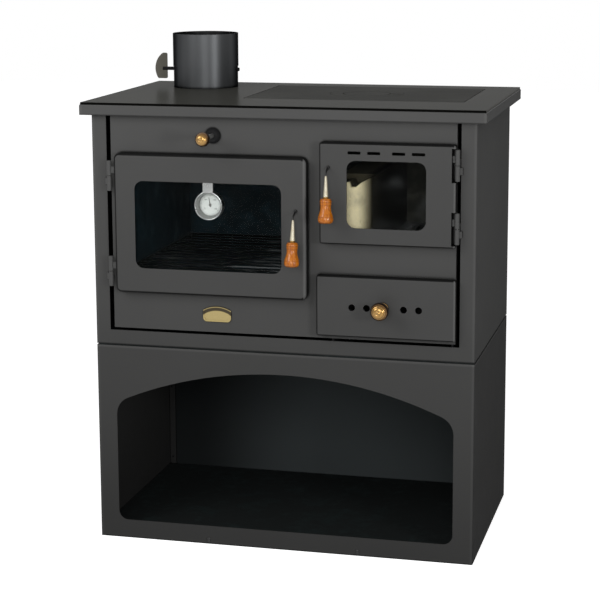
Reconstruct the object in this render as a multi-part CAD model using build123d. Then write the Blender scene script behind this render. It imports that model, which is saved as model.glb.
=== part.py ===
"""A wood cookstove: oven on the left, firebox and ash drawer on the right, log store below.

Lengths are in millimetres. X runs to the right, Y to the back and Z up. Heights are
measured from the floor, depths from the front face of the casing and widths from the
middle of the stove. Each piece is moved forward by Y_MID as it is written, so that the
finished part has its origin at the bottom centre of its outline.
"""
from build123d import *
import math
import os

# Sheet metal
SHEET = 2.0  # casing, doors and back panels
FOLD_R = 3.0  # outside radius of a folded edge
LIP = 15.0  # folded-in lips of the casings
PRESS_GAP = 0.05  # around a rod that is fixed in another piece
RUN_GAP = 0.06  # around a shaft that turns or slides in its hole
SEAT_GAP = 0.3  # under a loose or sliding piece

# Casing of the base and of the stove
WIDTH = 714.0
DEPTH = 422.0
BASE_TOP = 374.0
JOINT_GAP = 3.0  # dark line between base and stove
CASE_TOP = 824.0
BASE_FLOOR_TOP = 18.0
PAN_LIP = 16.0  # height of the flanges of the stove's bottom pan

# Arched mouth of the log store
ARCH_HALF_W = 320.0
ARCH_FOOT = 35.0
ARCH_APEX = 335.0
ARCH_R = 760.0
ARCH_SHOULDER_R = 36.0
ARCH_FOOT_R = 18.0

# Hob
HOB_TOP = 830.0
HOB_WIDTH = 750.0
HOB_DEPTH = 460.0
HOB_FRONT = 14.0  # overhang in front of the casing
HOB_PLATE_T = 4.0
HOB_SKIRT = 19.0  # height of the folded skirt under the plate
HOB_LEDGE = 35.0  # width of the folded ledge that carries the plate
HOB_REVEAL = 1.5  # the plate's edge stands back from the skirt

# Cast cooking plate and its round lid
COOK_W = 412.0
COOK_D = 264.0
COOK_SIDE = 14.5  # from the cast rim to the ledge at the right
COOK_REAR = 11.5  # from the cast rim to the ledge at the back
COOK_GAP = 1.5
COOK_STEP = 10.0  # width of the rebate that carries the cooking plate
COOK_BELOW = 6.0  # depth of the castings below the hob plate
COOK_RIM = 12.0  # width of the rim cast under the hob plate
LID_R = 70.0
LID_STEP = 7.0
LID_GAP = 0.8
LID_RING_R = 45.0
LID_SLOT_W = 18.0
LID_SLOT_D = 7.0

# Flue collar and damper
FLUE_X = -241.5
FLUE_REAR = 101.5  # from the flue's axis to the hob's back edge
FLUE_R = 65.0
FLUE_WALL = 2.0
FLUE_TOP = 936.0
SPIGOT_LEN = 65.0  # sized end that the pipe slides over
SPIGOT_STEP = 1.0  # the collar below it is this much smaller in radius
FLUE_HOLE_R = 60.0
DAMPER_Z = 864.5
DAMPER_SHAFT_R = 3.5
DAMPER_DISC_R = 58.0
DAMPER_DISC_T = 2.0
DAMPER_REACH = 15.5  # shaft between the collar and the handle
DAMPER_TAIL = 4.0  # shaft beyond the far side of the collar
HANDLE_W = 25.0
HANDLE_TOP_W = 9.0
HANDLE_FOOT_W = 19.0
HANDLE_UP = 31.0
HANDLE_DOWN = 20.0
HANDLE_T = 3.0
HANDLE_CORNER_R = 3.0
HANDLE_LAP = 9.0  # of the shaft's end in the handle's slot

# Front flanges of the casing and the front panel between them
FLANGE_W = 28.0
RAIL_TOP = 404.0
SLIT = 8.0
BOTTOM_SLIT = 5.0
PANEL_T = 2.5
PANEL_RETURN = 12.0
EAR_REACH = 12.0  # of each welding ear behind the flange
EAR_H = 20.0

# Doors: folded trays with lips
DOOR_T = 18.0
DOOR_FOLD_R = 5.5
CORNER_FLAT = 0.5  # a fold's radius stays this much under its corner's radius
GLASS_T = 5.0
GLASS_LAP = 12.0
SEAL_W = 6.0
SEAL_GAP = 3.0  # between the mouth and the seal
SEAL_T = 1.7

OVEN_DOOR_X = (-310.0, 52.0)
OVEN_DOOR_Z = (480.0, 738.5)
OVEN_CORNER_R = 11.0
OVEN_WINDOW_X = (-270.0, 7.0)
OVEN_WINDOW_Z = (527.0, 689.0)
OVEN_MOUTH_X = (-294.0, 18.5)
OVEN_MOUTH_Z = (495.0, 727.0)

FIRE_DOOR_X = (77.0, 322.0)
FIRE_DOOR_Z = (586.0, 768.0)
FIRE_CORNER_R = 4.0
FIRE_WINDOW_X = (127.0, 270.0)
FIRE_WINDOW_Z = (616.0, 737.0)
FIRE_MOUTH_X = (112.0, 301.0)
FIRE_MOUTH_Z = (608.0, 750.0)
WINDOW_R = 16.0
VENT_X = (140.5, 176.0, 220.5, 256.0)
VENT_Z = 751.0
VENT_W = 23.5
VENT_H = 5.5

# Hinges: two lift-off hinges for each door
HINGE_Y = -10.0
KNUCKLE_R = 4.5
HINGE_PIN_R = 2.0
HINGE_LEN = 56.0
HINGE_SPLIT = 0.4
OVEN_HINGE_X = -321.0
OVEN_HINGE_Z = (518.0, 696.0)
FIRE_HINGE_X = 324.0
FIRE_HINGE_Z = (620.0, 732.5)
HINGE_FOOT_X = 332.0  # far edge of each foot on the flange, from the middle of the stove
HINGE_TAB_H = 12.0
HINGE_TAB_AT = 5.0  # from the split between the halves to the tabs
HINGE_T = 3.0
HINGE_NOTCH_X = 315.0  # the firebox door stands back from its hinges to here
HINGE_NOTCH_GAP = 2.0

# Drop handles and their latches
SPINDLE_R = 2.75
SPINDLE_OUT = 3.5  # beyond the door's face
LATCH_BACK_Y = 12.0
ARM_R = 1.6  # bent rod from the spindle into the ferrule
ARM_BEND_R = 4.0
ARM_NECK = 6.0  # of the arm above the ferrule
OVEN_LATCH_X = 33.5
OVEN_LATCH_Z = 643.0
FIRE_LATCH_X = 93.5
FIRE_LATCH_Z = 724.0
FIRE_LATCH_TURN = -1.5  # degrees that the firebox door's handle hangs beside the vertical
HANDLE_OUT = 18.5  # from the door's face to the ferrule's top
HANDLE_LEAN = 8.5  # degrees that the handle hangs out from upright
FERRULE_DROP = 13.0  # below the spindle
FERRULE_LEN = 40.0
FERRULE_TOP_R = 2.4
FERRULE_FOOT_R = 5.2
GRIP_LEN = 44.0
GRIP_R = 13.6
GRIP_PROFILE = (  # shares of the grip's length from its foot and of its radius
    (0.0, 0.66), (0.06, 0.89), (0.18, 1.0), (0.28, 0.97), (0.45, 0.82), (0.64, 0.70), (0.90, 0.74), (1.0, 0.62),
)
TONGUE_W = 10.0
TONGUE_LEN = 28.0
TONGUE_T = 3.0
TONGUE_Y = 8.0
TONGUE_GAP = 1.5
POCKET_D = 17.5
POCKET_ROOM = 4.0

# Oven
OVEN_WALL = 2.0
OVEN_BACK = 392.0
RACK_Z = 520.0
RACK_SIDE_GAP = 3.0
RACK_Y = (24.0, 384.0)
RACK_WIRE_R = 1.8
RACK_FRAME_R = 2.5
RACK_WIRES = 11
RAIL_LEG = 12.0
RAIL_T = 1.5

# Oven thermometer, hung behind the glass
THERMO_X = -132.0
THERMO_Z = 646.0
THERMO_R = 26.5
THERMO_BEZEL = 3.0
THERMO_D = 16.0
THERMO_BACK_T = 1.0
THERMO_LENS_T = 1.2
STRAP_W = 19.0
STRAP_T = 1.0
POINTER_LEN = 14.0
POINTER_TAIL = 4.0
POINTER_T = 0.6
POINTER_HUB_R = 2.5
POINTER_REST = 10.0  # degrees to the left of upright
DIAL_R = 20.0
DIAL_T = 1.0

# Firebox
LINER_T = 3.0
LINER_X = (95.0, 317.0)
LINER_BACK = 398.0
LINER_TOP = 818.0
BRIDGE_TOP = 682.0
SHELF_TOP = 557.0
BRICK_FRONT = 20.0
BRIDGE_BRICK_T = 65.0
BRIDGE_BRICK_TOP = 700.0
BRIDGE_BRICK_R = 20.0
WORN_DEPTH = 16.0  # of the notch in its top edge
WORN_BACK = 60.0  # how far back the worn part runs
WORN_SHAPE = (  # shares of the brick's thickness and of the notch's depth
    (0.0, 0.75), (0.38, 0.45), (0.43, 1.0), (0.57, 1.0), (0.72, 0.5), (0.92, 0.05),
)
SIDE_BRICK_T = 26.0
SIDE_BRICK_TOP = 790.0
GRATE_Y = (100.0, 345.0)
GRATE_T = 12.0
GRATE_GAP = 1.5
GRATE_REST = 12.0
GRATE_SLOT = 8.0
GRATE_PITCH = 16.0

# Ash drawer
ASH_FRONT_X = (70.0, 323.0)
ASH_FRONT_Z = (416.5, 527.5)
ASH_FRONT_T = 15.0
ASH_MOUTH_X = (100.0, 312.0)
ASH_MOUTH_Z = (420.0, 508.0)
ASH_PAN_SIDE_GAP = 4.0
ASH_PAN_Z = (428.0, 500.0)
ASH_PAN_BACK = 340.0
ASH_PAN_T = 1.5
ASH_HOLES = (-60.8, -33.6, 33.6, 60.8)
ASH_HOLE_Z = 471.0
ASH_HOLE_R = 6.3
ASH_KNOB_R = 16.5
ASH_KNOB_X = 192.5  # a little left of the middle
ASH_KNOB_Z = 472.5
ASH_KNOB_REACH = 29.0  # from the drawer's face to the ball's centre
RUNNER_W = 14.0
RUNNER_T = 1.7

# Smoke bypass: a knob and rod that move a gate plate over the oven
BYPASS_X = -125.0
BYPASS_Z = 773.5
BYPASS_KNOB_Y = -62.0
BYPASS_KNOB_R = 13.5
BYPASS_KNOB_REACH = 16.0  # from the neck's end to the ball's centre
BYPASS_ROD_R = 4.0
BYPASS_PANEL_HOLE_R = 6.0
BYPASS_GATE_Y = 236.0
BYPASS_GATE_W = 130.0
BYPASS_GATE_TOP = 803.0
BYPASS_GATE_T = 3.0
ROSETTE_R = 14.0
ROSETTE_T = 7.0
BAFFLE_Y = 269.0
BAFFLE_LAP = 8.0
BAFFLE_RIGHT = -40.0

# Badge, bare
BADGE_X = -121.0
BADGE_Z = (429.0, 457.0)
BADGE_W = 53.0
BADGE_T = 2.0
BADGE_RIM = 2.5

# Turned knobs, in radii of the ball
KNOB_STEPS = 8  # flats between the ball's front and the back of its neck
KNOB_RING = 0.62
KNOB_NECK = 0.42
KNOB_RING_T = 0.2

# Screws
SCREW_R = 2.0
SCREW_HEAD_R = 3.6
SCREW_HEAD_T = 2.2
SCREW_LEN = 8.0
FOOT_SCREW_X = 143.0
FOOT_SCREW_Z = 8.0
BACK_SCREW_INSET = 8.0
BACK_SCREW_Z = (34.0, 187.0, 340.0, 410.0, 600.0, 790.0)

# Sizes and places that follow from the ones above
HALF_W = WIDTH / 2
CASE_DEPTH = DEPTH - SHEET
BODY_FOOT = BASE_TOP + JOINT_GAP
PAN_TOP = BASE_TOP + SHEET
PLATE_UNDER = HOB_TOP - HOB_PLATE_T
SKIRT_FOOT = PLATE_UNDER - HOB_SKIRT
HOB_BACK = HOB_DEPTH - HOB_FRONT
COOK_X = HOB_WIDTH / 2 - HOB_LEDGE - COOK_SIDE - COOK_RIM - COOK_GAP - COOK_W / 2
COOK_Y = HOB_BACK - HOB_LEDGE - COOK_REAR - COOK_RIM - COOK_GAP - COOK_D / 2
FLUE_Y = HOB_BACK - FLUE_REAR
PANEL_Y = SHEET
PANEL_BACK = PANEL_Y + PANEL_T
PANEL_HALF_W = HALF_W - FLANGE_W - SLIT
PANEL_FOOT = RAIL_TOP + BOTTOM_SLIT
DOOR_Y = -DOOR_T
DOOR_INNER_Y = DOOR_Y + SHEET
GLASS_BACK = DOOR_INNER_Y + GLASS_T
HANDLE_Y = DOOR_Y - HANDLE_OUT
ASH_X = (ASH_FRONT_X[0] + ASH_FRONT_X[1]) / 2
ASH_PAN_X = (ASH_MOUTH_X[0] + ASH_PAN_SIDE_GAP, ASH_MOUTH_X[1] - ASH_PAN_SIDE_GAP)
BRIDGE_FACE = LINER_X[0] + LINER_T + BRIDGE_BRICK_T
SIDE_BRICK_X = LINER_X[1] - LINER_T - SIDE_BRICK_T
BRICK_BACK = LINER_BACK - LINER_T
OVEN_TOP = OVEN_MOUTH_Z[1] + OVEN_WALL
RACK_MID_Z = RACK_Z + SEAT_GAP + RACK_FRAME_R
THERMO_FRONT = GLASS_BACK + PRESS_GAP
BAFFLE_TOP = PLATE_UNDER - COOK_BELOW - 1.0
BYPASS_KNOB_BACK = BYPASS_KNOB_Y + BYPASS_KNOB_REACH
FRONT_MOST = BYPASS_KNOB_Y - BYPASS_KNOB_R
Y_MID = (FRONT_MOST + HOB_BACK) / 2


def block(x, y, z):
    """A box between two corners, each axis given as (low, high)."""
    middle = Pos((x[0] + x[1]) / 2, (y[0] + y[1]) / 2, (z[0] + z[1]) / 2)
    return middle * Box(x[1] - x[0], y[1] - y[0], z[1] - z[0])


def slab(outline, y0, y1):
    """An outline drawn in X and Z, made solid from y0 back to y1."""
    return extrude(Plane.XZ.offset(-y1) * outline, y1 - y0)


def rod_y(x, z, radius, y0, y1):
    """A round bar along Y."""
    return slab(Pos(x, z) * Circle(radius), y0, y1)


def rod_x(y, z, radius, x0, x1):
    """A round bar along X."""
    return extrude(Plane.YZ.offset(x0) * Pos(y, z) * Circle(radius), x1 - x0)


def rod_z(x, y, radius, z0, z1):
    """A round bar along Z."""
    return extrude(Pos(x, y, z0) * Circle(radius), z1 - z0)


def rounded(x, z, radius):
    """A rectangle with round corners, drawn in X and Z."""
    middle = Pos((x[0] + x[1]) / 2, (z[0] + z[1]) / 2)
    return middle * RectangleRounded(x[1] - x[0], z[1] - z[0], radius)


def grown(span, by):
    """A (low, high) span made longer at both ends."""
    return (span[0] - by, span[1] + by)


def mirrored(span):
    """A (low, high) span on the other side of the middle."""
    return (-span[1], -span[0])


# ---------------------------------------------------------------- casings

def folded_case(foot, top):
    """The front and both sides folded from one sheet, with lips at the back edge."""
    case = block((-HALF_W, HALF_W), (0, CASE_DEPTH), (foot, top))
    case = fillet(case.edges().filter_by(Axis.Z).sort_by(Axis.Y)[:2], FOLD_R)
    inner_half = HALF_W - SHEET
    room = block((-inner_half, inner_half), (SHEET, CASE_DEPTH - SHEET), (foot - 1, top + 1))
    room = fillet(room.edges().filter_by(Axis.Z).sort_by(Axis.Y)[:2], FOLD_R - SHEET)
    lip_half = HALF_W - LIP
    rear = block((-lip_half, lip_half), (CASE_DEPTH - 2 * SHEET, CASE_DEPTH + 1), (foot - 1, top + 1))
    return case - room - rear


def arch_outline():
    """The log store's mouth: a flat arch on round shoulders."""
    height = ARCH_APEX - ARCH_FOOT + LIP
    outline = Pos(0, ARCH_FOOT + height / 2) * Rectangle(2 * ARCH_HALF_W, height)
    outline = outline & (Pos(0, ARCH_APEX - ARCH_R) * Circle(ARCH_R))
    feet = outline.vertices().sort_by(Axis.Y)[:2]
    outline = fillet(feet, ARCH_FOOT_R)
    shoulders = outline.vertices().sort_by(Axis.Y)[-2:]
    return fillet(shoulders, ARCH_SHOULDER_R)


def base_casing():
    """Front with its arched mouth, both sides and the lips that carry the stove."""
    case = folded_case(0, BASE_TOP)
    half = HALF_W - SHEET / 2
    ring = block((-half, half), (SHEET / 2, CASE_DEPTH - SHEET / 2), (BASE_TOP - SHEET, BASE_TOP))
    opening_x = (-HALF_W + LIP, HALF_W - LIP)
    ring -= block(opening_x, (LIP, CASE_DEPTH - LIP), (BASE_TOP - SHEET - 1, BASE_TOP + 1))
    case = case + ring
    case -= slab(arch_outline(), -1, SHEET + 1)
    for x in (-FOOT_SCREW_X, FOOT_SCREW_X):
        case -= rod_y(x, FOOT_SCREW_Z, SCREW_R + PRESS_GAP, -1, SHEET + 1)
    return case - back_screw_holes(CASE_DEPTH - 2 * SHEET, CASE_DEPTH + 1)


def back_screw_holes(y0, y1):
    """Clearance holes for the screws of both back panels."""
    holes = []
    for side in (-1, 1):
        for z in BACK_SCREW_Z:
            x = side * (HALF_W - BACK_SCREW_INSET)
            holes.append(rod_y(x, z, SCREW_R + PRESS_GAP, y0, y1))
    return holes


def back_sheet(foot, top):
    """A flat back panel screwed on the casing's lips."""
    sheet = block((-HALF_W, HALF_W), (CASE_DEPTH, DEPTH), (foot, top))
    return sheet - back_screw_holes(CASE_DEPTH - 1, DEPTH + 1)


def corner_block(x, y, z, radius):
    """A block with rounded upright edges that fits inside the casing's folds."""
    body = block(x, y, z)
    return fillet(body.edges().filter_by(Axis.Z), radius)


def base_floor():
    """Floor of the log store: a sheet with flanges down to the ground and folded in."""
    outer_x = (-HALF_W + SHEET, HALF_W - SHEET)
    outer_y = (SHEET, CASE_DEPTH - SHEET)
    pan = corner_block(outer_x, outer_y, (0, BASE_FLOOR_TOP), FOLD_R)
    inside_y = grown(outer_y, -SHEET)
    pan -= block(grown(outer_x, -SHEET), inside_y, (SHEET, BASE_FLOOR_TOP - SHEET))
    pan -= block(grown(outer_x, -LIP), grown(outer_y, -LIP), (-1, SHEET + 1))
    for x in (-FOOT_SCREW_X, FOOT_SCREW_X):
        pan -= rod_y(x, FOOT_SCREW_Z, SCREW_R + PRESS_GAP, 0, 2 * SHEET + 1)
    return pan


def body_casing():
    """Sides of the stove with the flanges and the rail that frame the front panel."""
    case = folded_case(BODY_FOOT, CASE_TOP)
    open_half = HALF_W - FLANGE_W
    case -= block((-open_half, open_half), (-1, SHEET + 1), (RAIL_TOP, CASE_TOP + 1))
    return case - back_screw_holes(CASE_DEPTH - 2 * SHEET, CASE_DEPTH + 1)


def body_bottom():
    """Bottom pan of the stove; it lies on the base's lips."""
    outer_x = (-HALF_W + SHEET, HALF_W - SHEET)
    outer_y = (SHEET, CASE_DEPTH - SHEET)
    pan = corner_block(outer_x, outer_y, (BASE_TOP, BASE_TOP + PAN_LIP), FOLD_R)
    return pan - block(grown(outer_x, -SHEET), grown(outer_y, -SHEET), (PAN_TOP, BASE_TOP + PAN_LIP + 1))


def front_panel():
    """Panel set back behind the flanges, with its mouths, latch slots and welding ears."""
    side = (-PANEL_HALF_W, PANEL_HALF_W)
    panel = block(side, (PANEL_Y, PANEL_BACK + PANEL_RETURN), (PANEL_FOOT, CASE_TOP))
    hollow_x = grown(side, -SHEET)
    panel -= block(hollow_x, (PANEL_BACK, PANEL_BACK + PANEL_RETURN + 1), (PANEL_FOOT - 1, CASE_TOP + 1))
    for hinge_z, sign in ((OVEN_HINGE_Z, -1), (FIRE_HINGE_Z, 1)):
        for z in hinge_z:
            reach = sorted((sign * (PANEL_HALF_W - 1), sign * (PANEL_HALF_W + SLIT + EAR_REACH)))
            panel += block(reach, (PANEL_Y, PANEL_BACK), (z - EAR_H / 2, z + EAR_H / 2))
    through = (PANEL_Y - 1, PANEL_BACK + 1)
    panel -= block(OVEN_MOUTH_X, through, OVEN_MOUTH_Z)
    panel -= block(FIRE_MOUTH_X, through, FIRE_MOUTH_Z)
    panel -= block(ASH_MOUTH_X, through, ASH_MOUTH_Z)
    panel -= rod_y(BYPASS_X, BYPASS_Z, BYPASS_PANEL_HOLE_R, *through)
    for x, z in ((OVEN_LATCH_X, OVEN_LATCH_Z), (FIRE_LATCH_X, FIRE_LATCH_Z)):
        panel -= slab(tongue_outline(x, z, TONGUE_GAP), *through)
    return panel


def case_screws():
    """Two screws in the base's front edge and two rows down the back."""
    shank = SCREW_R
    screws = []
    for x in (-FOOT_SCREW_X, FOOT_SCREW_X):
        screw = rod_y(x, FOOT_SCREW_Z, shank, -1, SCREW_LEN)
        screws.append(screw + rod_y(x, FOOT_SCREW_Z, SCREW_HEAD_R, -SCREW_HEAD_T, 0))
    for side in (-1, 1):
        for z in BACK_SCREW_Z:
            x = side * (HALF_W - BACK_SCREW_INSET)
            screw = rod_y(x, z, shank, DEPTH - SCREW_LEN, DEPTH + 1)
            screws.append(screw + rod_y(x, z, SCREW_HEAD_R, DEPTH, DEPTH + SCREW_HEAD_T))
    return Compound(children=[s.solid() for s in screws])


# ---------------------------------------------------------------- hob and flue

def hob_frame():
    """Folded skirt and ledge around the hob."""
    hob_x = (-HOB_WIDTH / 2, HOB_WIDTH / 2)
    hob_y = (-HOB_FRONT, HOB_BACK)
    frame = block(hob_x, hob_y, (SKIRT_FOOT, PLATE_UNDER))
    upper = frame.faces().sort_by(Axis.Z)[-1].edges()
    frame = fillet(upper, SHEET)
    frame -= block(grown(hob_x, -SHEET), grown(hob_y, -SHEET), (SKIRT_FOOT - 1, CASE_TOP))
    return frame - block(grown(hob_x, -HOB_LEDGE), grown(hob_y, -HOB_LEDGE), (CASE_TOP - 1, PLATE_UNDER + 1))


def hob_plate():
    """Top plate with the rebated opening for the cooking plate and the flue hole."""
    plate_x = grown((-HOB_WIDTH / 2, HOB_WIDTH / 2), -HOB_REVEAL)
    plate_y = grown((-HOB_FRONT, HOB_BACK), -HOB_REVEAL)
    plate = block(plate_x, plate_y, (PLATE_UNDER, HOB_TOP))
    centre = Pos(COOK_X, COOK_Y, PLATE_UNDER - COOK_BELOW / 2)
    rim_grow = 2 * (COOK_GAP + COOK_RIM)
    plate += centre * Box(COOK_W + rim_grow, COOK_D + rim_grow, COOK_BELOW)
    pocket_x = grown((COOK_X - COOK_W / 2, COOK_X + COOK_W / 2), COOK_GAP)
    pocket_y = grown((COOK_Y - COOK_D / 2, COOK_Y + COOK_D / 2), COOK_GAP)
    plate -= block(pocket_x, pocket_y, (PLATE_UNDER, HOB_TOP + 1))
    below = (PLATE_UNDER - COOK_BELOW - 1, PLATE_UNDER + 1)
    plate -= block(grown(pocket_x, -COOK_STEP), grown(pocket_y, -COOK_STEP), below)
    return plate - rod_z(FLUE_X, FLUE_Y, FLUE_HOLE_R, PLATE_UNDER - 1, HOB_TOP + 1)


def cooking_plate():
    """Cast plate that drops into the hob, with a stepped hole for the round lid."""
    under = PLATE_UNDER - COOK_BELOW
    plate = Pos(COOK_X, COOK_Y, (PLATE_UNDER + HOB_TOP) / 2) * Box(COOK_W, COOK_D, HOB_PLATE_T)
    lower_cut = 2 * (COOK_STEP + COOK_GAP)
    lower = Box(COOK_W - lower_cut, COOK_D - lower_cut, COOK_BELOW)
    plate += Pos(COOK_X, COOK_Y, PLATE_UNDER - COOK_BELOW / 2) * lower
    plate -= rod_z(COOK_X, COOK_Y, LID_R + LID_GAP, PLATE_UNDER, HOB_TOP + 1)
    return plate - rod_z(COOK_X, COOK_Y, LID_R - LID_STEP + LID_GAP, under - 1, HOB_TOP)


def round_lid():
    """Round cast lid with a ring groove and a slot for the lifter."""
    lid = rod_z(COOK_X, COOK_Y, LID_R, PLATE_UNDER, HOB_TOP)
    lid += rod_z(COOK_X, COOK_Y, LID_R - LID_STEP, PLATE_UNDER - COOK_BELOW, PLATE_UNDER)
    groove = rod_z(COOK_X, COOK_Y, LID_RING_R + 1, HOB_TOP - 1, HOB_TOP + 1)
    groove -= rod_z(COOK_X, COOK_Y, LID_RING_R - 1, HOB_TOP - 2, HOB_TOP + 2)
    slot_x = COOK_X + (LID_R + LID_RING_R) / 2
    slot = Pos(slot_x, COOK_Y) * SlotOverall(LID_SLOT_W, LID_SLOT_D)
    return lid - groove - extrude(Pos(0, 0, PLATE_UNDER) * slot, HOB_PLATE_T + 1)


def flue_collar():
    """Round collar for the flue pipe with a sized end, drilled for the damper's shaft."""
    foot_r = FLUE_R - SPIGOT_STEP
    step_z = FLUE_TOP - SPIGOT_LEN
    collar = rod_z(FLUE_X, FLUE_Y, foot_r, HOB_TOP, step_z)
    collar += rod_z(FLUE_X, FLUE_Y, FLUE_R, step_z, FLUE_TOP)
    collar -= rod_z(FLUE_X, FLUE_Y, foot_r - FLUE_WALL, HOB_TOP - 1, FLUE_TOP + 1)
    collar -= rod_z(FLUE_X, FLUE_Y, FLUE_R - FLUE_WALL, step_z + FLUE_WALL, FLUE_TOP + 1)
    span = (FLUE_X - FLUE_R - 1, FLUE_X + FLUE_R + 1)
    return collar - rod_x(FLUE_Y, DAMPER_Z, DAMPER_SHAFT_R + RUN_GAP, *span)


def damper_shaft():
    """Shaft across the collar."""
    left = FLUE_X - FLUE_R - DAMPER_REACH - HANDLE_LAP
    return rod_x(FLUE_Y, DAMPER_Z, DAMPER_SHAFT_R, left, FLUE_X + FLUE_R + DAMPER_TAIL)


def damper_disc():
    """Disc on the back of the shaft, edge-on to the smoke when open."""
    face = FLUE_Y + DAMPER_SHAFT_R
    return rod_y(FLUE_X, DAMPER_Z, DAMPER_DISC_R, face, face + DAMPER_DISC_T)


def damper_handle():
    """Leaf-shaped handle, slotted and welded over the shaft's end."""
    right = FLUE_X - FLUE_R - DAMPER_REACH
    top = (right - HANDLE_TOP_W, DAMPER_Z + HANDLE_UP)
    foot = (right - HANDLE_FOOT_W, DAMPER_Z - HANDLE_DOWN)
    edge = ThreePointArc(top, (right - HANDLE_W, DAMPER_Z), foot)
    edge += Polyline(foot, (right, foot[1]), (right, top[1]), top)
    leaf = make_face(edge)
    plate = slab(fillet(leaf.vertices(), HANDLE_CORNER_R), FLUE_Y - HANDLE_T / 2, FLUE_Y + HANDLE_T / 2)
    return plate - rod_x(FLUE_Y, DAMPER_Z, DAMPER_SHAFT_R, right - HANDLE_LAP, right + 1)


# ---------------------------------------------------------------- doors

def tray(x, z, corner, depth):
    """A folded tray, open at the back: front sheet with rounded folds and four sides."""
    shell = slab(rounded(x, z, corner), -depth, 0)
    front = shell.faces().sort_by(Axis.Y)[0].edges()
    fold = min(DOOR_FOLD_R, corner - CORNER_FLAT)
    shell = fillet(front, fold)
    hollow = slab(rounded(grown(x, -SHEET), grown(z, -SHEET), corner - SHEET), SHEET - depth, 1)
    deepest = hollow.faces().sort_by(Axis.Y)[0].edges()
    return shell - fillet(deepest, fold - SHEET)


def door_tray(x, z, corner, window, mouth_x, mouth_z, latch):
    """A door: a tray with lips for the seal, a window and holes for the latch rod."""
    door = tray(x, z, corner, DOOR_T)
    lips = slab(rounded(grown(x, -SHEET), grown(z, -SHEET), corner - SHEET), -SHEET, 0)
    inside_x = grown(mouth_x, 1)
    inside_z = grown(mouth_z, 1)
    door += lips - block(inside_x, (-SHEET - 1, 1), inside_z)
    door -= slab(rounded(window[0], window[1], WINDOW_R), DOOR_Y - 1, DOOR_INNER_Y + 1)
    return door - rod_y(latch[0], latch[1], SPINDLE_R + RUN_GAP, DOOR_Y - 1, 1)


def oven_door():
    """Oven door."""
    window = (OVEN_WINDOW_X, OVEN_WINDOW_Z)
    latch = (OVEN_LATCH_X, OVEN_LATCH_Z)
    return door_tray(OVEN_DOOR_X, OVEN_DOOR_Z, OVEN_CORNER_R, window, OVEN_MOUTH_X, OVEN_MOUTH_Z, latch)


def firebox_door():
    """Firebox door with air slots over the window and its edge notched at the hinges."""
    window = (FIRE_WINDOW_X, FIRE_WINDOW_Z)
    latch = (FIRE_LATCH_X, FIRE_LATCH_Z)
    door = door_tray(FIRE_DOOR_X, FIRE_DOOR_Z, FIRE_CORNER_R, window, FIRE_MOUTH_X, FIRE_MOUTH_Z, latch)
    for x in VENT_X:
        slot = Pos(x, VENT_Z) * RectangleRounded(VENT_W, VENT_H, VENT_H / 3)
        door -= slab(slot, DOOR_Y - 1, DOOR_INNER_Y + 1)
    for z in FIRE_HINGE_Z:
        notch_z = grown((z - HINGE_LEN / 2, z + HINGE_LEN / 2), HINGE_NOTCH_GAP)
        door += block((HINGE_NOTCH_X - SHEET, FIRE_DOOR_X[1] - SHEET), (DOOR_INNER_Y, 0), grown(notch_z, SHEET))
        door -= block((HINGE_NOTCH_X, FIRE_DOOR_X[1] + 1), (DOOR_Y - 1, 1), notch_z)
    return door


def window_glass(window_x, window_z):
    """A pane held behind the window."""
    return block(grown(window_x, GLASS_LAP), (DOOR_INNER_Y, GLASS_BACK), grown(window_z, GLASS_LAP))


def glass_clips(window_x, window_z):
    """Four bent clips on the door's inner face that hook over the pane's side edges."""
    clips = []
    quarter = (window_z[1] - window_z[0]) / 4
    for z in (window_z[0] + quarter, window_z[1] - quarter):
        high = (z - 6, z + 6)
        for side in (-1, 1):
            edge = window_x[0] - GLASS_LAP if side < 0 else window_x[1] + GLASS_LAP
            foot = sorted((edge + side * SEAT_GAP, edge + side * 9))
            hook = sorted((edge - side * 6, edge + side * (SEAT_GAP + RAIL_T)))
            riser = sorted((edge + side * SEAT_GAP, edge + side * (SEAT_GAP + RAIL_T)))
            clip = block(foot, (DOOR_INNER_Y, DOOR_INNER_Y + RAIL_T), high)
            clip += block(riser, (DOOR_INNER_Y, GLASS_BACK + RAIL_T), high)
            clip += block(hook, (GLASS_BACK, GLASS_BACK + RAIL_T), high)
            clips.append(clip.solid())
    return Compound(children=clips)


def door_seal(mouth_x, mouth_z):
    """Flat woven seal on the door's lips, all round the mouth."""
    inner_x = grown(mouth_x, SEAL_GAP)
    inner_z = grown(mouth_z, SEAL_GAP)
    ring = rounded(grown(inner_x, SEAL_W), grown(inner_z, SEAL_W), SEAL_W)
    ring -= rounded(inner_x, inner_z, SEAL_W / 3)
    return slab(ring, 0, SEAL_T)


# ---------------------------------------------------------------- hinges

def knuckle(x, z0, z1):
    """A hinge barrel with its bore."""
    barrel = rod_z(x, HINGE_Y, KNUCKLE_R, z0, z1)
    return chamfer(barrel.edges().filter_by(GeomType.CIRCLE), 0.6)


def lower_knuckles():
    """The four lower halves, each with a slanted foot on the casing's flange."""
    halves = []
    for x, heights in ((OVEN_HINGE_X, OVEN_HINGE_Z), (FIRE_HINGE_X, FIRE_HINGE_Z)):
        side = math.copysign(1, x)
        for z in heights:
            foot_z = z - HINGE_LEN / 2
            far = side * HINGE_FOOT_X
            tab = Polyline(
                (far, 0), (far, -HINGE_T), (x, HINGE_Y - HINGE_T / 2), (x, HINGE_Y + HINGE_T / 2),
                (far - side * HINGE_T, 0), close=True,
            )
            half = knuckle(x, foot_z, z - HINGE_SPLIT / 2)
            half += extrude(Pos(0, 0, z - HINGE_TAB_AT - HINGE_TAB_H) * make_face(tab), HINGE_TAB_H)
            half -= rod_z(x, HINGE_Y, HINGE_PIN_R + PRESS_GAP, foot_z + HINGE_T, z)
            halves.append(half.solid())
    return Compound(children=halves)


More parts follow.
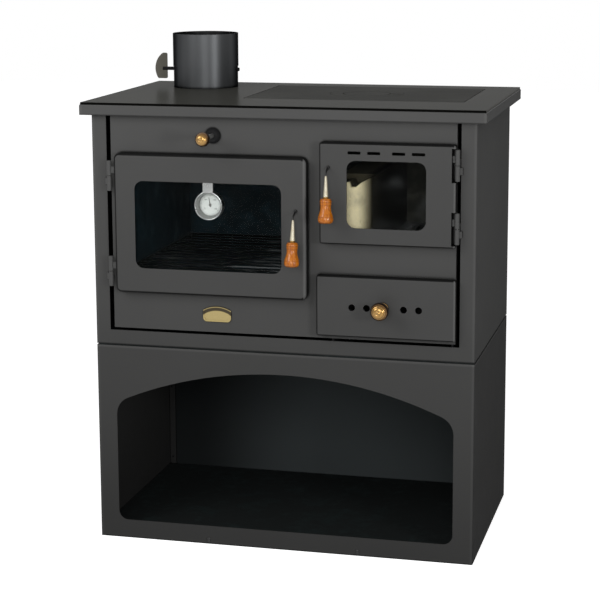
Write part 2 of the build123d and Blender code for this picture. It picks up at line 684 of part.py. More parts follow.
def upper_knuckles(x, heights, door_edge):
    """The two upper halves on a door, each with a tab welded to the door's side."""
    halves = []
    for z in heights:
        top = z + HINGE_LEN / 2
        tab_z = (z + HINGE_TAB_AT, z + HINGE_TAB_AT + HINGE_TAB_H)
        half = knuckle(x, z + HINGE_SPLIT / 2, top)
        half += block(sorted((x, door_edge)), (HINGE_Y - HINGE_T / 2, HINGE_Y + HINGE_T / 2), tab_z)
        half -= rod_z(x, HINGE_Y, HINGE_PIN_R + RUN_GAP, z, top - HINGE_T)
        halves.append(half.solid())
    return Compound(children=halves)


def hinge_pins():
    """Four pins, fixed in the lower halves; the doors turn on them."""
    pins = []
    for x, heights in ((OVEN_HINGE_X, OVEN_HINGE_Z), (FIRE_HINGE_X, FIRE_HINGE_Z)):
        for z in heights:
            reach = HINGE_LEN / 2 - HINGE_T - SEAT_GAP
            pins.append(rod_z(x, HINGE_Y, HINGE_PIN_R, z - reach, z + reach).solid())
    return Compound(children=pins)


# ---------------------------------------------------------------- latches

def handle_place(x, z, turn):
    """Where the ferrule begins; the handle's own axis leans out from there."""
    return Pos(x, 0, z) * Rot(0, turn, 0) * Pos(0, HANDLE_Y, -FERRULE_DROP) * Rot(-HANDLE_LEAN, 0, 0)


def latch_rod(x, z, turn):
    """Spindle through the door and the thin arm bent down outside to carry the handle."""
    spindle = rod_y(x, z, SPINDLE_R, DOOR_Y - SPINDLE_OUT, LATCH_BACK_Y)
    start = Vector(x, DOOR_Y - SPINDLE_OUT / 2, z)
    bend = (handle_place(x, z, turn) * Pos(0, 0, ARM_NECK)).position
    end = (handle_place(x, z, turn) * Pos(0, 0, FERRULE_FOOT_R - FERRULE_LEN)).position
    path = FilletPolyline(start, bend, end, radius=ARM_BEND_R)
    return spindle + sweep(Plane(start, z_dir=bend - start) * Circle(ARM_R), path)


def latch_ferrule(x, z, turn):
    """Tapered metal ferrule between the arm and the grip."""
    bore = ARM_R + PRESS_GAP
    profile = Polyline(
        (bore, 0), (FERRULE_TOP_R, 0), (FERRULE_FOOT_R, -FERRULE_LEN), (bore, -FERRULE_LEN), close=True,
    )
    return handle_place(x, z, turn) * revolve(Plane.XZ * make_face(profile), Axis.Z)


def latch_grip(x, z, turn):
    """Turned wooden grip: slim shoulder and a round flared foot."""
    foot = -FERRULE_LEN - GRIP_LEN
    outer = [(GRIP_R * wide, foot + GRIP_LEN * high) for high, wide in GRIP_PROFILE]
    profile = Polyline((0, foot), *outer, (0, -FERRULE_LEN), close=True)
    return handle_place(x, z, turn) * revolve(Plane.XZ * make_face(profile), Axis.Z)


def tongue_outline(x, z, gap):
    """Outline of a latch tongue that points up, or of the slot that lets it through."""
    half = TONGUE_W / 2 + gap
    body = Pos(x, z + (TONGUE_LEN - half) / 2) * Rectangle(2 * half, TONGUE_LEN - half + 2 * gap)
    body += Pos(x, z) * Circle(half)
    return body + Pos(x, z + TONGUE_LEN - TONGUE_W / 2) * Circle(half)


def latch_tongue(x, z):
    """Flat tongue on the spindle's inner end; it turns behind the front panel."""
    tongue = slab(tongue_outline(x, z, 0), TONGUE_Y, TONGUE_Y + TONGUE_T)
    return tongue - rod_y(x, z, SPINDLE_R + PRESS_GAP, TONGUE_Y - 1, TONGUE_Y + TONGUE_T + 1)


def latch_pockets():
    """Closed pockets behind the front panel in which the tongues turn."""
    pockets = []
    for x, z, side in ((OVEN_LATCH_X, OVEN_LATCH_Z, 1), (FIRE_LATCH_X, FIRE_LATCH_Z, -1)):
        near = TONGUE_W / 2 + POCKET_ROOM
        far = TONGUE_LEN + POCKET_ROOM
        span_x = sorted((x - side * near, x + side * far))
        span_z = (z - near, z + far)
        box = block(grown(span_x, RAIL_T), (PANEL_BACK, PANEL_BACK + POCKET_D), grown(span_z, RAIL_T))
        box -= block(span_x, (PANEL_BACK - 1, PANEL_BACK + POCKET_D - RAIL_T), span_z)
        pockets.append(box.solid())
    return Compound(children=pockets)


# ---------------------------------------------------------------- oven

def oven_box():
    """Five-sided oven, welded on the back of the front panel."""
    inside = (PANEL_BACK - 1, OVEN_BACK)
    box = block(grown(OVEN_MOUTH_X, OVEN_WALL), (PANEL_BACK, OVEN_BACK + OVEN_WALL), grown(OVEN_MOUTH_Z, OVEN_WALL))
    return box - block(OVEN_MOUTH_X, inside, OVEN_MOUTH_Z)


def rack_rails():
    """Angle rails on the oven's side walls."""
    rails = []
    for wall, side in ((OVEN_MOUTH_X[0], 1), (OVEN_MOUTH_X[1], -1)):
        shelf = sorted((wall, wall + side * RAIL_LEG))
        web = sorted((wall, wall + side * RAIL_T))
        length = (PANEL_BACK + RAIL_LEG, OVEN_BACK - RAIL_LEG)
        rail = block(shelf, length, (RACK_Z - RAIL_T, RACK_Z))
        rail += block(web, length, (RACK_Z - RAIL_LEG, RACK_Z))
        rails.append(rail.solid())
    return Compound(children=rails)


def oven_rack():
    """Wire rack: a stout frame and thinner wires from side to side."""
    span = grown(OVEN_MOUTH_X, -RACK_SIDE_GAP - RACK_FRAME_R)
    rack = rod_y(span[0], RACK_MID_Z, RACK_FRAME_R, *RACK_Y)
    rack += rod_y(span[1], RACK_MID_Z, RACK_FRAME_R, *RACK_Y)
    ends = grown(RACK_Y, -RACK_FRAME_R)
    for y in ends:
        rack += rod_x(y, RACK_MID_Z, RACK_FRAME_R, *span)
    pitch = (ends[1] - ends[0]) / (RACK_WIRES + 1)
    for i in range(RACK_WIRES):
        rack += rod_x(ends[0] + (i + 1) * pitch, RACK_MID_Z, RACK_WIRE_R, *span)
    return rack


# ---------------------------------------------------------------- thermometer

def thermometer_case():
    """Round case with a bezel, and the strap that hooks over the pane."""
    front = THERMO_FRONT
    case = rod_y(THERMO_X, THERMO_Z, THERMO_R, front, front + THERMO_D)
    inner = THERMO_R - THERMO_BEZEL
    floor_y = front + THERMO_D - THERMO_BACK_T
    lens_seat = front + 2 * THERMO_LENS_T
    case -= rod_y(THERMO_X, THERMO_Z, inner, front - 1, lens_seat)
    mouth = Plane.XZ.offset(-lens_seat) * Pos(THERMO_X, THERMO_Z) * Circle(inner)
    bottom = Plane.XZ.offset(-floor_y) * Pos(THERMO_X, THERMO_Z) * Circle(DIAL_R + PRESS_GAP)
    case -= loft([mouth, bottom])
    glass_top = OVEN_WINDOW_Z[1] + GLASS_LAP
    strap_x = (THERMO_X - STRAP_W / 2, THERMO_X + STRAP_W / 2)
    strap_top = glass_top + SEAT_GAP + STRAP_T
    strap = block(strap_x, (front, front + STRAP_T), (THERMO_Z + inner + 1, strap_top))
    strap += block(strap_x, (DOOR_INNER_Y, front + STRAP_T), (glass_top + SEAT_GAP, strap_top))
    return case + strap


def thermometer_dial():
    """Flat dial in the bottom of the case."""
    back = THERMO_FRONT + THERMO_D - THERMO_BACK_T
    return rod_y(THERMO_X, THERMO_Z, DIAL_R, back - DIAL_T, back)


def thermometer_pointer():
    """Pointer that turns in front of the dial."""
    back = THERMO_FRONT + THERMO_D - THERMO_BACK_T - DIAL_T - SEAT_GAP
    outline = Polyline(
        (-1.2, -POINTER_TAIL), (1.2, -POINTER_TAIL), (0.4, POINTER_LEN), (-0.4, POINTER_LEN), close=True,
    )
    pointer = slab(Pos(THERMO_X, THERMO_Z) * Rot(0, 0, POINTER_REST) * make_face(outline), back - POINTER_T, back)
    return pointer + rod_y(THERMO_X, THERMO_Z, POINTER_HUB_R, back - 2 * POINTER_T, back)


def thermometer_lens():
    """Glass disc held in the bezel."""
    radius = THERMO_R - THERMO_BEZEL - PRESS_GAP
    return rod_y(THERMO_X, THERMO_Z, radius, THERMO_FRONT, THERMO_FRONT + THERMO_LENS_T)


# ---------------------------------------------------------------- firebox

def firebox_liner():
    """Steel fire chamber: low bridge wall, right wall, back wall and the grate's shelf."""
    y = (PANEL_BACK, LINER_BACK)
    wall_z = (PAN_TOP, LINER_TOP)
    left = (LINER_X[0], LINER_X[0] + LINER_T)
    liner = block(left, y, (PAN_TOP, BRIDGE_TOP))
    liner += block((LINER_X[1] - LINER_T, LINER_X[1]), y, wall_z)
    liner += block(LINER_X, (BRICK_BACK, LINER_BACK), wall_z)
    liner += block(LINER_X, y, (SHELF_TOP - LINER_T, SHELF_TOP))
    hole_x = (BRIDGE_FACE + GRATE_REST, SIDE_BRICK_X - GRATE_REST)
    liner -= block(hole_x, grown(GRATE_Y, -GRATE_REST), (SHELF_TOP - LINER_T - 1, SHELF_TOP + 1))
    return liner


def firebrick_left():
    """Thick bridge brick beside the oven, worn along its top front edge."""
    left = LINER_X[0] + LINER_T
    brick = block((left, BRIDGE_FACE), (BRICK_FRONT, BRICK_BACK), (SHELF_TOP, BRIDGE_BRICK_TOP))
    corner = brick.edges().filter_by(Axis.Z).sort_by(Axis.Y)[:2].sort_by(Axis.X)[-1]
    brick = fillet(corner, BRIDGE_BRICK_R)
    top = BRIDGE_BRICK_TOP
    worn = [(left + BRIDGE_BRICK_T * across, top - WORN_DEPTH * down) for across, down in WORN_SHAPE]
    edge = Polyline((left - 1, top + 1), (left - 1, worn[0][1]), *worn, (BRIDGE_FACE + 1, top + 1), close=True)
    return brick - slab(make_face(edge), BRICK_FRONT - 1, BRICK_FRONT + WORN_BACK)


def firebrick_right():
    """Slab against the right wall."""
    return block((SIDE_BRICK_X, LINER_X[1] - LINER_T), (BRICK_FRONT, BRICK_BACK), (SHELF_TOP, SIDE_BRICK_TOP))


def firebrick_back():
    """Slab against the back wall."""
    return block((BRIDGE_FACE, SIDE_BRICK_X), (BRICK_BACK - SIDE_BRICK_T, BRICK_BACK), (SHELF_TOP, SIDE_BRICK_TOP))


def grate():
    """Cast grate with a row of slots, lying on the shelf between the bricks."""
    x = (BRIDGE_FACE + GRATE_GAP, SIDE_BRICK_X - GRATE_GAP)
    casting = block(x, GRATE_Y, (SHELF_TOP, SHELF_TOP + GRATE_T))
    slot_y = grown(GRATE_Y, -2 * GRATE_REST)
    middle = (x[0] + x[1]) / 2
    count = int((x[1] - x[0] - 2 * GRATE_REST) // GRATE_PITCH)
    for i in range(count):
        at = middle + (i - (count - 1) / 2) * GRATE_PITCH
        slot_x = (at - GRATE_SLOT / 2, at + GRATE_SLOT / 2)
        casting -= block(slot_x, slot_y, (SHELF_TOP - 1, SHELF_TOP + GRATE_T + 1))
    return casting


# ---------------------------------------------------------------- ash drawer

def ash_holes(y0, y1):
    """The four air holes in a row."""
    return [rod_y(ASH_X + dx, ASH_HOLE_Z, ASH_HOLE_R, y0, y1) for dx in ASH_HOLES]


def ash_drawer_front():
    """Folded front of the ash drawer with its air holes."""
    front = tray(ASH_FRONT_X, ASH_FRONT_Z, FIRE_CORNER_R, ASH_FRONT_T)
    return front - ash_holes(-ASH_FRONT_T - 1, 1)


def ash_pan():
    """Open pan behind the drawer's front."""
    front = SHEET - ASH_FRONT_T
    pan = block(ASH_PAN_X, (front, ASH_PAN_BACK), ASH_PAN_Z)
    inner_z = (ASH_PAN_Z[0] + ASH_PAN_T, ASH_PAN_Z[1] + 1)
    pan -= block(grown(ASH_PAN_X, -ASH_PAN_T), (front + ASH_PAN_T, ASH_PAN_BACK - ASH_PAN_T), inner_z)
    return pan - ash_holes(front - 1, front + ASH_PAN_T + 1)


def ash_runners():
    """Angle runners under the pan's sides, welded to the fire chamber's walls."""
    top = ASH_PAN_Z[0] - SEAT_GAP
    left_wall = LINER_X[0] + LINER_T
    right_wall = LINER_X[1] - LINER_T
    length = (PANEL_BACK + RUNNER_W, BRICK_BACK - RUNNER_W)
    runners = []
    for wall, inner in ((left_wall, ASH_PAN_X[0] + RUNNER_W / 2), (right_wall, ASH_PAN_X[1] - RUNNER_W / 2)):
        side = math.copysign(1, inner - wall)
        runner = block(sorted((wall, inner)), length, (top - RUNNER_T, top))
        runner += block(sorted((wall, wall + side * RUNNER_T)), length, (top - RUNNER_W, top))
        runners.append(runner.solid())
    return Compound(children=runners)


def turned_knob(x, z, back, reach, radius):
    """A turned ball knob with a neck and a base ring, drawn from its back forward."""
    neck_x = KNOB_NECK * radius
    ring_x = KNOB_RING * radius
    ring_y = KNOB_RING_T * radius
    turns = [math.pi * i / KNOB_STEPS for i in range(1, KNOB_STEPS)]
    ball = [(radius * math.sin(turn), reach + radius * math.cos(turn)) for turn in turns]
    seat_y = reach - radius * math.cos(math.asin(KNOB_NECK))
    ball = [spot for spot in ball if spot[1] > seat_y]
    profile = Polyline(
        (0, reach + radius), *ball, (neck_x, seat_y), (neck_x, ring_y), (ring_x, ring_y), (ring_x, 0), (0, 0),
        close=True,
    )
    turned = revolve(Plane.XY * make_face(profile), Axis.Y)
    return Pos(x, back, z) * Rot(180, 0, 0) * turned


# ---------------------------------------------------------------- smoke bypass

def bypass_rod():
    """Rod from the knob to the gate plate."""
    return rod_y(BYPASS_X, BYPASS_Z, BYPASS_ROD_R, BYPASS_KNOB_BACK, BYPASS_GATE_Y)


def bypass_rosette():
    """Round guide on the front panel."""
    rosette = rod_y(BYPASS_X, BYPASS_Z, ROSETTE_R, PANEL_Y - ROSETTE_T, PANEL_Y)
    rosette = chamfer(rosette.faces().sort_by(Axis.Y)[0].edges(), ROSETTE_T / 2)
    return rosette - rod_y(BYPASS_X, BYPASS_Z, BYPASS_ROD_R + RUN_GAP, PANEL_Y - ROSETTE_T - 1, PANEL_Y + 1)


def bypass_gate():
    """Gate plate on the rod's end; it slides over the oven's top."""
    half = BYPASS_GATE_W / 2
    gate_y = (BYPASS_GATE_Y, BYPASS_GATE_Y + BYPASS_GATE_T)
    return block((BYPASS_X - half, BYPASS_X + half), gate_y, (OVEN_TOP + SEAT_GAP, BYPASS_GATE_TOP))


def smoke_baffle():
    """Wall across the smoke way over the oven, with the window that the gate closes."""
    baffle = block((-HALF_W + SHEET, BAFFLE_RIGHT), (BAFFLE_Y, BAFFLE_Y + SHEET), (OVEN_TOP, BAFFLE_TOP))
    half = BYPASS_GATE_W / 2 - BAFFLE_LAP
    window_z = (OVEN_TOP + BAFFLE_LAP, BYPASS_GATE_TOP - BAFFLE_LAP)
    through = (BAFFLE_Y - 1, BAFFLE_Y + SHEET + 1)
    return baffle - block((BYPASS_X - half, BYPASS_X + half), through, window_z)


def badge_plate():
    """Small bare plate with an arched top and a raised rim."""
    width = BADGE_W
    height = BADGE_Z[1] - BADGE_Z[0]
    outline = badge_outline(width, height)
    plate = slab(outline, PANEL_Y - BADGE_T, PANEL_Y)
    field = badge_outline(width - 2 * BADGE_RIM, height - 2 * BADGE_RIM)
    return plate - slab(Pos(0, BADGE_RIM) * field, PANEL_Y - BADGE_T - 1, PANEL_Y - BADGE_T / 2)


def badge_outline(width, height):
    """Rectangle under a flat arch, standing on the badge's lower edge."""
    rise = height / 4
    radius = ((width / 2) ** 2 + rise ** 2) / (2 * rise)
    outline = Pos(BADGE_X, BADGE_Z[0] + height / 2 + 1) * Rectangle(width, height + 2)
    outline = outline & (Pos(BADGE_X, BADGE_Z[0] + height - radius) * Circle(radius))
    outline = outline & (Pos(BADGE_X, BADGE_Z[0] + height / 2) * Rectangle(width, height))
    return fillet(outline.vertices().sort_by(Axis.Y)[:2], height / 4)


def build():
    """Every node of the stove by name."""
    oven = (OVEN_LATCH_X, OVEN_LATCH_Z)
    fire = (FIRE_LATCH_X, FIRE_LATCH_Z)
    return {
        "base_casing": base_casing(),
        "base_back": back_sheet(0, BASE_TOP),
        "base_floor": base_floor(),
        "body_casing": body_casing(),
        "body_back": back_sheet(BODY_FOOT, CASE_TOP),
        "body_bottom": body_bottom(),
        "front_panel": front_panel(),
        "case_screws": case_screws(),
        "hob_frame": hob_frame(),
        "hob_plate": hob_plate(),
        "cooking_plate": cooking_plate(),
        "round_lid": round_lid(),
        "flue_collar": flue_collar(),
        "damper_shaft": damper_shaft(),
        "damper_disc": damper_disc(),
        "damper_handle": damper_handle(),
        "bypass_knob": turned_knob(BYPASS_X, BYPASS_Z, BYPASS_KNOB_BACK, BYPASS_KNOB_REACH, BYPASS_KNOB_R),
        "bypass_rod": bypass_rod(),
        "bypass_rosette": bypass_rosette(),
        "bypass_gate": bypass_gate(),
        "smoke_baffle": smoke_baffle(),
        "oven_box": oven_box(),
        "oven_rack_rails": rack_rails(),
        "oven_rack": oven_rack(),
        "oven_door": oven_door(),
        "oven_door_glass": window_glass(OVEN_WINDOW_X, OVEN_WINDOW_Z),
        "oven_glass_clips": glass_clips(OVEN_WINDOW_X, OVEN_WINDOW_Z),
        "oven_door_seal": door_seal(OVEN_MOUTH_X, OVEN_MOUTH_Z),
        "oven_upper_knuckles": upper_knuckles(OVEN_HINGE_X, OVEN_HINGE_Z, OVEN_DOOR_X[0]),
        "oven_latch_rod": latch_rod(*oven, 0),
        "oven_latch_ferrule": latch_ferrule(*oven, 0),
        "oven_latch_grip": latch_grip(*oven, 0),
        "oven_latch_tongue": latch_tongue(*oven),
        "thermometer_case": thermometer_case(),
        "thermometer_dial": thermometer_dial(),
        "thermometer_pointer": thermometer_pointer(),
        "thermometer_lens": thermometer_lens(),
        "firebox_door": firebox_door(),
        "firebox_door_glass": window_glass(FIRE_WINDOW_X, FIRE_WINDOW_Z),
        "firebox_glass_clips": glass_clips(FIRE_WINDOW_X, FIRE_WINDOW_Z),
        "firebox_door_seal": door_seal(FIRE_MOUTH_X, FIRE_MOUTH_Z),
        "firebox_upper_knuckles": upper_knuckles(FIRE_HINGE_X, FIRE_HINGE_Z, HINGE_NOTCH_X),
        "firebox_latch_rod": latch_rod(*fire, FIRE_LATCH_TURN),
        "firebox_latch_ferrule": latch_ferrule(*fire, FIRE_LATCH_TURN),
        "firebox_latch_grip": latch_grip(*fire, FIRE_LATCH_TURN),
        "firebox_latch_tongue": latch_tongue(*fire),
        "hinge_lower_knuckles": lower_knuckles(),
        "hinge_pins": hinge_pins(),
        "latch_pockets": latch_pockets(),
        "firebox_liner": firebox_liner(),
        "firebrick_left": firebrick_left(),
        "firebrick_right": firebrick_right(),
        "firebrick_back": firebrick_back(),
        "grate": grate(),
        "ash_drawer_front": ash_drawer_front(),
        "ash_pan": ash_pan(),
        "ash_knob": turned_knob(ASH_KNOB_X, ASH_KNOB_Z, -ASH_FRONT_T, ASH_KNOB_REACH, ASH_KNOB_R),
        "ash_runners": ash_runners(),
        "badge_plate": badge_plate(),
    }


os.makedirs("parts", exist_ok=True)
for name, shape in build().items():
    export_step(Pos(0, -Y_MID, 0) * shape, f"parts/{name}.step")
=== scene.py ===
"""Wood cookstove: the visible finish of the stove, laid out as a Blender add-on."""
import math

import bmesh
import bpy
import numpy as np
from bpy.props import FloatProperty, FloatVectorProperty, PointerProperty
from mathutils import Matrix, Vector


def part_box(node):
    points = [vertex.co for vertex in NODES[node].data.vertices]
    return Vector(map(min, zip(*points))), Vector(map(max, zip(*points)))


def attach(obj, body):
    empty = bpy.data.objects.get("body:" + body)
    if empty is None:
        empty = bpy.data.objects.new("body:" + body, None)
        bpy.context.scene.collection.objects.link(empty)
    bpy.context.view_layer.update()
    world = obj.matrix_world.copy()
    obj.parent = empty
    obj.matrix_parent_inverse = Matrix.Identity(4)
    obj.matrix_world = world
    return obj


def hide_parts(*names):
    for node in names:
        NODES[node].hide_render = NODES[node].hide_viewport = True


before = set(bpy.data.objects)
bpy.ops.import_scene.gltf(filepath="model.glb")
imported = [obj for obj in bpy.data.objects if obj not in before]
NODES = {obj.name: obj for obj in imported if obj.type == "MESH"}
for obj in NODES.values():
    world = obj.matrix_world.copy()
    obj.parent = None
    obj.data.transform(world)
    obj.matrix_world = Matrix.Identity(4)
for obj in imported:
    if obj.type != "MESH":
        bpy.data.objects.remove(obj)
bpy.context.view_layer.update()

bl_info = {
    "name": "Wood cookstove",
    "version": (1, 0, 0),
    "blender": (4, 5, 0),
    "location": "View3D > Sidebar > Stove",
    "description": "Enamel, castings, handles, knobs, thermometer and glass of a wood cookstove",
    "category": "Object",
}

MM = 0.001
FRONT_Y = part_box("body_casing")[0].y  # front face of the casing
BODY_FOOT, BODY_TOP = (corner.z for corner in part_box("body_casing"))
X, Y, Z = np.eye(3)

HANDLE_LEAN = math.radians(8.5)  # how far the drop handles hang out from upright
HANDLE_TURN = {"oven": 0.0, "firebox": math.radians(1.5)}  # how far each hangs beside the vertical
SCREW_CELL = 12.0 * MM  # screws lie further apart than this
SHARP_BEND = math.radians(35.0)  # edges of new pieces stay sharp from this bend on
SATIN = 0.42  # roughness of the enamel on doors, drawer and hinges

# Photograph's camera, with Y counted from the casing's front face
CAMERA_PLACE = (0.82327, -3.12181, 1.15815)
CAMERA_YAW = math.radians(14.136)
CAMERA_PITCH = math.radians(10.044)
CAMERA_ROLL = math.radians(-0.27)
CAMERA_LENS = 108.778
CAMERA_SENSOR = 36.0
CAMERA_SHIFT_Y = -0.10

# Softboxes: place and aim, with Y counted from the casing's front face, and the side of the square
LAMPS = {
    "key": ((-1.00, -1.20, 1.50), (0.0, 0.0, 0.60), 0.9),
    "fill": ((0.45, -2.90, 1.35), (0.0, 0.0, 0.55), 1.3),
    "rim": ((2.06, -1.73, 0.95), (0.0, 0.0, 0.55), 0.5),
}
FLOOR_HALF = 9.0


# ---------------------------------------------------------------- settings

def length(name, description, default):
    """A length property in metres, from a default in millimetres."""
    return FloatProperty(
        name=name, description=description, default=default * MM, min=0.0, unit="LENGTH"
    )


def colour(name, description, default):
    """A linear colour property."""
    return FloatVectorProperty(
        name=name, description=description, default=default, subtype="COLOR", size=3, min=0.0, max=1.0
    )


def power(name, description, default):
    """A lamp's power in watts."""
    return FloatProperty(name=name, description=description, default=default, min=0.0, unit="POWER")


def factor(name, description, default):
    """A property between 0 and 1."""
    return FloatProperty(
        name=name, description=description, default=default, min=0.0, max=1.0, subtype="FACTOR"
    )


class StoveSizes(bpy.types.PropertyGroup):
    """Sizes of the turned and drawn details."""

    grip_ring: length("Grip shoulder", "Radius of the grip's ringed shoulder", 10.1)
    grip_waist: length("Grip waist", "Smallest radius of the grip", 9.4)
    grip_foot: length("Grip foot", "Largest radius of the grip", 13.6)
    ferrule_top: length("Ferrule top", "Radius of the ferrule at its narrow end", 1.9)
    ferrule_foot: length("Ferrule foot", "Radius of the ferrule at its wide end", 5.2)
    ferrule_ring: length("Ferrule ring", "Height of the beaded ring under the ferrule", 3.0)
    screw_head: length("Screw head", "Radius of a screw's head", 3.55)
    screw_rise: length("Screw rise", "Height of a screw's domed head", 1.9)
    cup: length("Thermometer cup", "Depth of the thermometer's cup", 16.0)
    strap: length("Thermometer strap", "Width of the strap that the thermometer hangs on", 19.0)
    tick: length("Dial tick", "Length of a long tick of the thermometer's scale", 2.6)
    numeral: length("Dial numeral", "Height of the numbers on the dial", 3.6)


class StoveColours(bpy.types.PropertyGroup):
    """Colours of the finishes."""

    casing: colour("Casing", "Anthracite enamel of casing, doors and drawer", (0.064, 0.064, 0.063))
    store: colour("Log store", "Enamel of the log store's back", (0.056, 0.064, 0.066))
    store_floor: colour("Store floor", "Black of the store's floor", (0.0030, 0.0048, 0.0048))
    hob: colour("Hob", "Heat-resistant paint of the hob's top plate", (0.046, 0.046, 0.041))
    casting: colour("Castings", "Ground iron of the cooking plate and lid", (0.042, 0.042, 0.038))
    collar: colour("Flue collar", "Paint of the rolled flue collar", (0.055, 0.057, 0.059))
    damper: colour("Damper", "Enamel of the damper's handle", (0.09, 0.085, 0.07))
    black: colour("Inner black", "Soot-black paint of the inner walls", (0.003, 0.003, 0.0035))
    oven: colour("Oven", "Black enamel of the oven's walls and rails", (0.0022, 0.0100, 0.0140))
    # colour of the rack's painted glints; elsewhere the wire is near black
    rack: colour("Rack", "Wire of the rack, where it is bright", (0.085, 0.088, 0.090))
    wood: colour("Grip", "Varnished wood of the grips", (0.46, 0.138, 0.0040))
    grain: colour("Grain", "Darker streaks of the grips' wood", (0.24, 0.045, 0.002))
    ivory: colour("Ferrule", "Pale lacquered metal of the ferrules", (0.35, 0.318, 0.23))
    rod: colour("Handle rod", "Blackened rod of the drop handles", (0.03, 0.03, 0.03))
    brass: colour("Brass", "Turned brass of the knobs and rings", (0.25, 0.140, 0.036))
    badge: colour("Badge", "Brass of the bare badge plate", (0.33, 0.26, 0.11))
    badge_band: colour("Badge band", "Dark band on the badge plate", (0.035, 0.026, 0.012))
    steel: colour("Steel", "Bright steel", (0.50, 0.50, 0.49))
    screw: colour("Screws", "Blackened steel of the screws", (0.045, 0.045, 0.045))
    zinc: colour("Ash pan", "Zinc-coated sheet of the ash pan", (0.30, 0.30, 0.30))
    dial: colour("Dial", "White of the thermometer's dial", (0.98, 0.98, 0.94))
    ink: colour("Dial ink", "Ink of the dial's ticks and numbers", (0.05, 0.05, 0.05))
    pointer: colour("Pointer", "Grey of the thermometer's pointer", (0.20, 0.19, 0.17))
    brick: colour("Firebrick", "Fired clay", (0.91, 0.82, 0.54))
    smoked: colour("Smoked brick", "Brick blackened by smoke", (0.026, 0.026, 0.020))
    grate: colour("Grate", "Cast iron of the grate", (0.02, 0.02, 0.02))
    seal: colour("Seal", "Woven glass tape", (0.05, 0.05, 0.05))


class StoveLight(bpy.types.PropertyGroup):
    """Studio light."""

    key: power("Key", "Power of the lamp at the left front", 14.0)
    fill: power("Fill", "Power of the wide lamp in front", 33.0)
    rim: power("Rim", "Power of the lamp at the right", 22.0)
    room: factor("Room", "Strength of the even light from all sides", 0.40)
    haze: factor("Haze", "White that the camera sees on the floor beside its own shade", 0.68)


# ---------------------------------------------------------------- shader maths

class Socket:
    """A shader output that works in Python expressions; each operation adds its Math node."""

    def __init__(self, shading, output):
        self.shading = shading
        self.output = output

    def math(self, operation, *values):
        """One Math node on some values."""
        return self.shading.add("ShaderNodeMath", {"operation": operation}, *values)

    def __add__(self, other):
        return self.math("ADD", self, other)

    __radd__ = __add__

    def __sub__(self, other):
        return self.math("SUBTRACT", self, other)

    def __rsub__(self, other):
        return self.math("SUBTRACT", other, self)

    def __mul__(self, other):
        return self.math("MULTIPLY", self, other)

    __rmul__ = __mul__

    def __pow__(self, other):
        return self.math("POWER", self, other)

    def __gt__(self, other):
        return self.math("GREATER_THAN", self, other)

    def __lt__(self, other):
        return self.math("LESS_THAN", self, other)

    def __abs__(self):
        return self.math("ABSOLUTE", self)

    def sin(self):
        """Sine of this value."""
        return self.math("SINE", self)

    def larger(self, other):
        """The larger of two values."""
        return self.math("MAXIMUM", self, other)

    def clamp(self, low, high):
        """0 below low, 1 above high and a smooth step between them."""
        settings = {"interpolation_type": "SMOOTHSTEP"}
        return self.shading.add("ShaderNodeMapRange", settings, self, low, high, 0.0, 1.0)


class Shading:
    """The nodes of a material or of the world that is being put together."""

    def __init__(self, owner, output):
        owner.use_nodes = True
        self.owner = owner
        self.tree = owner.node_tree
        self.tree.nodes.clear()
        self.output = self.tree.nodes.new(output)

    def add(self, kind, settings, *values, out=None, **named):
        """One node: settings, sockets in order, sockets by name; returns its first or a named output."""
        node = self.tree.nodes.new(kind)
        for key, value in settings.items():
            setattr(node, key, value)
        for socket, value in zip([s for s in node.inputs if s.enabled], values):
            self.feed(socket, value)
        for key, value in named.items():
            self.feed(node.inputs[key.replace("_", " ")], value)
        outputs = {s.name: s for s in node.outputs if s.enabled}
        return Socket(self, outputs[out or next(iter(outputs))])

    def feed(self, socket, value):
        """A link from a Socket, or a constant; None leaves the socket alone."""
        if isinstance(value, Socket):
            self.tree.links.new(value.output, socket)
        elif value is not None:
            short = socket.type == "RGBA" and len(value) == 3
            socket.default_value = (*value, 1.0) if short else value

    def seen(self):
        """1 for the camera, for reflections and through glass, and 0 for rays that carry light."""
        kinds = ("Is Camera Ray", "Is Glossy Ray", "Is Transmission Ray")
        camera, glossy, through = (self.add("ShaderNodeLightPath", {}, out=kind) for kind in kinds)
        return camera.larger(glossy).larger(through)

    def show(self, shader):
        """Puts a shader on the output and returns the finished material or world."""
        self.feed(self.output.inputs["Surface"], shader)
        return self.owner


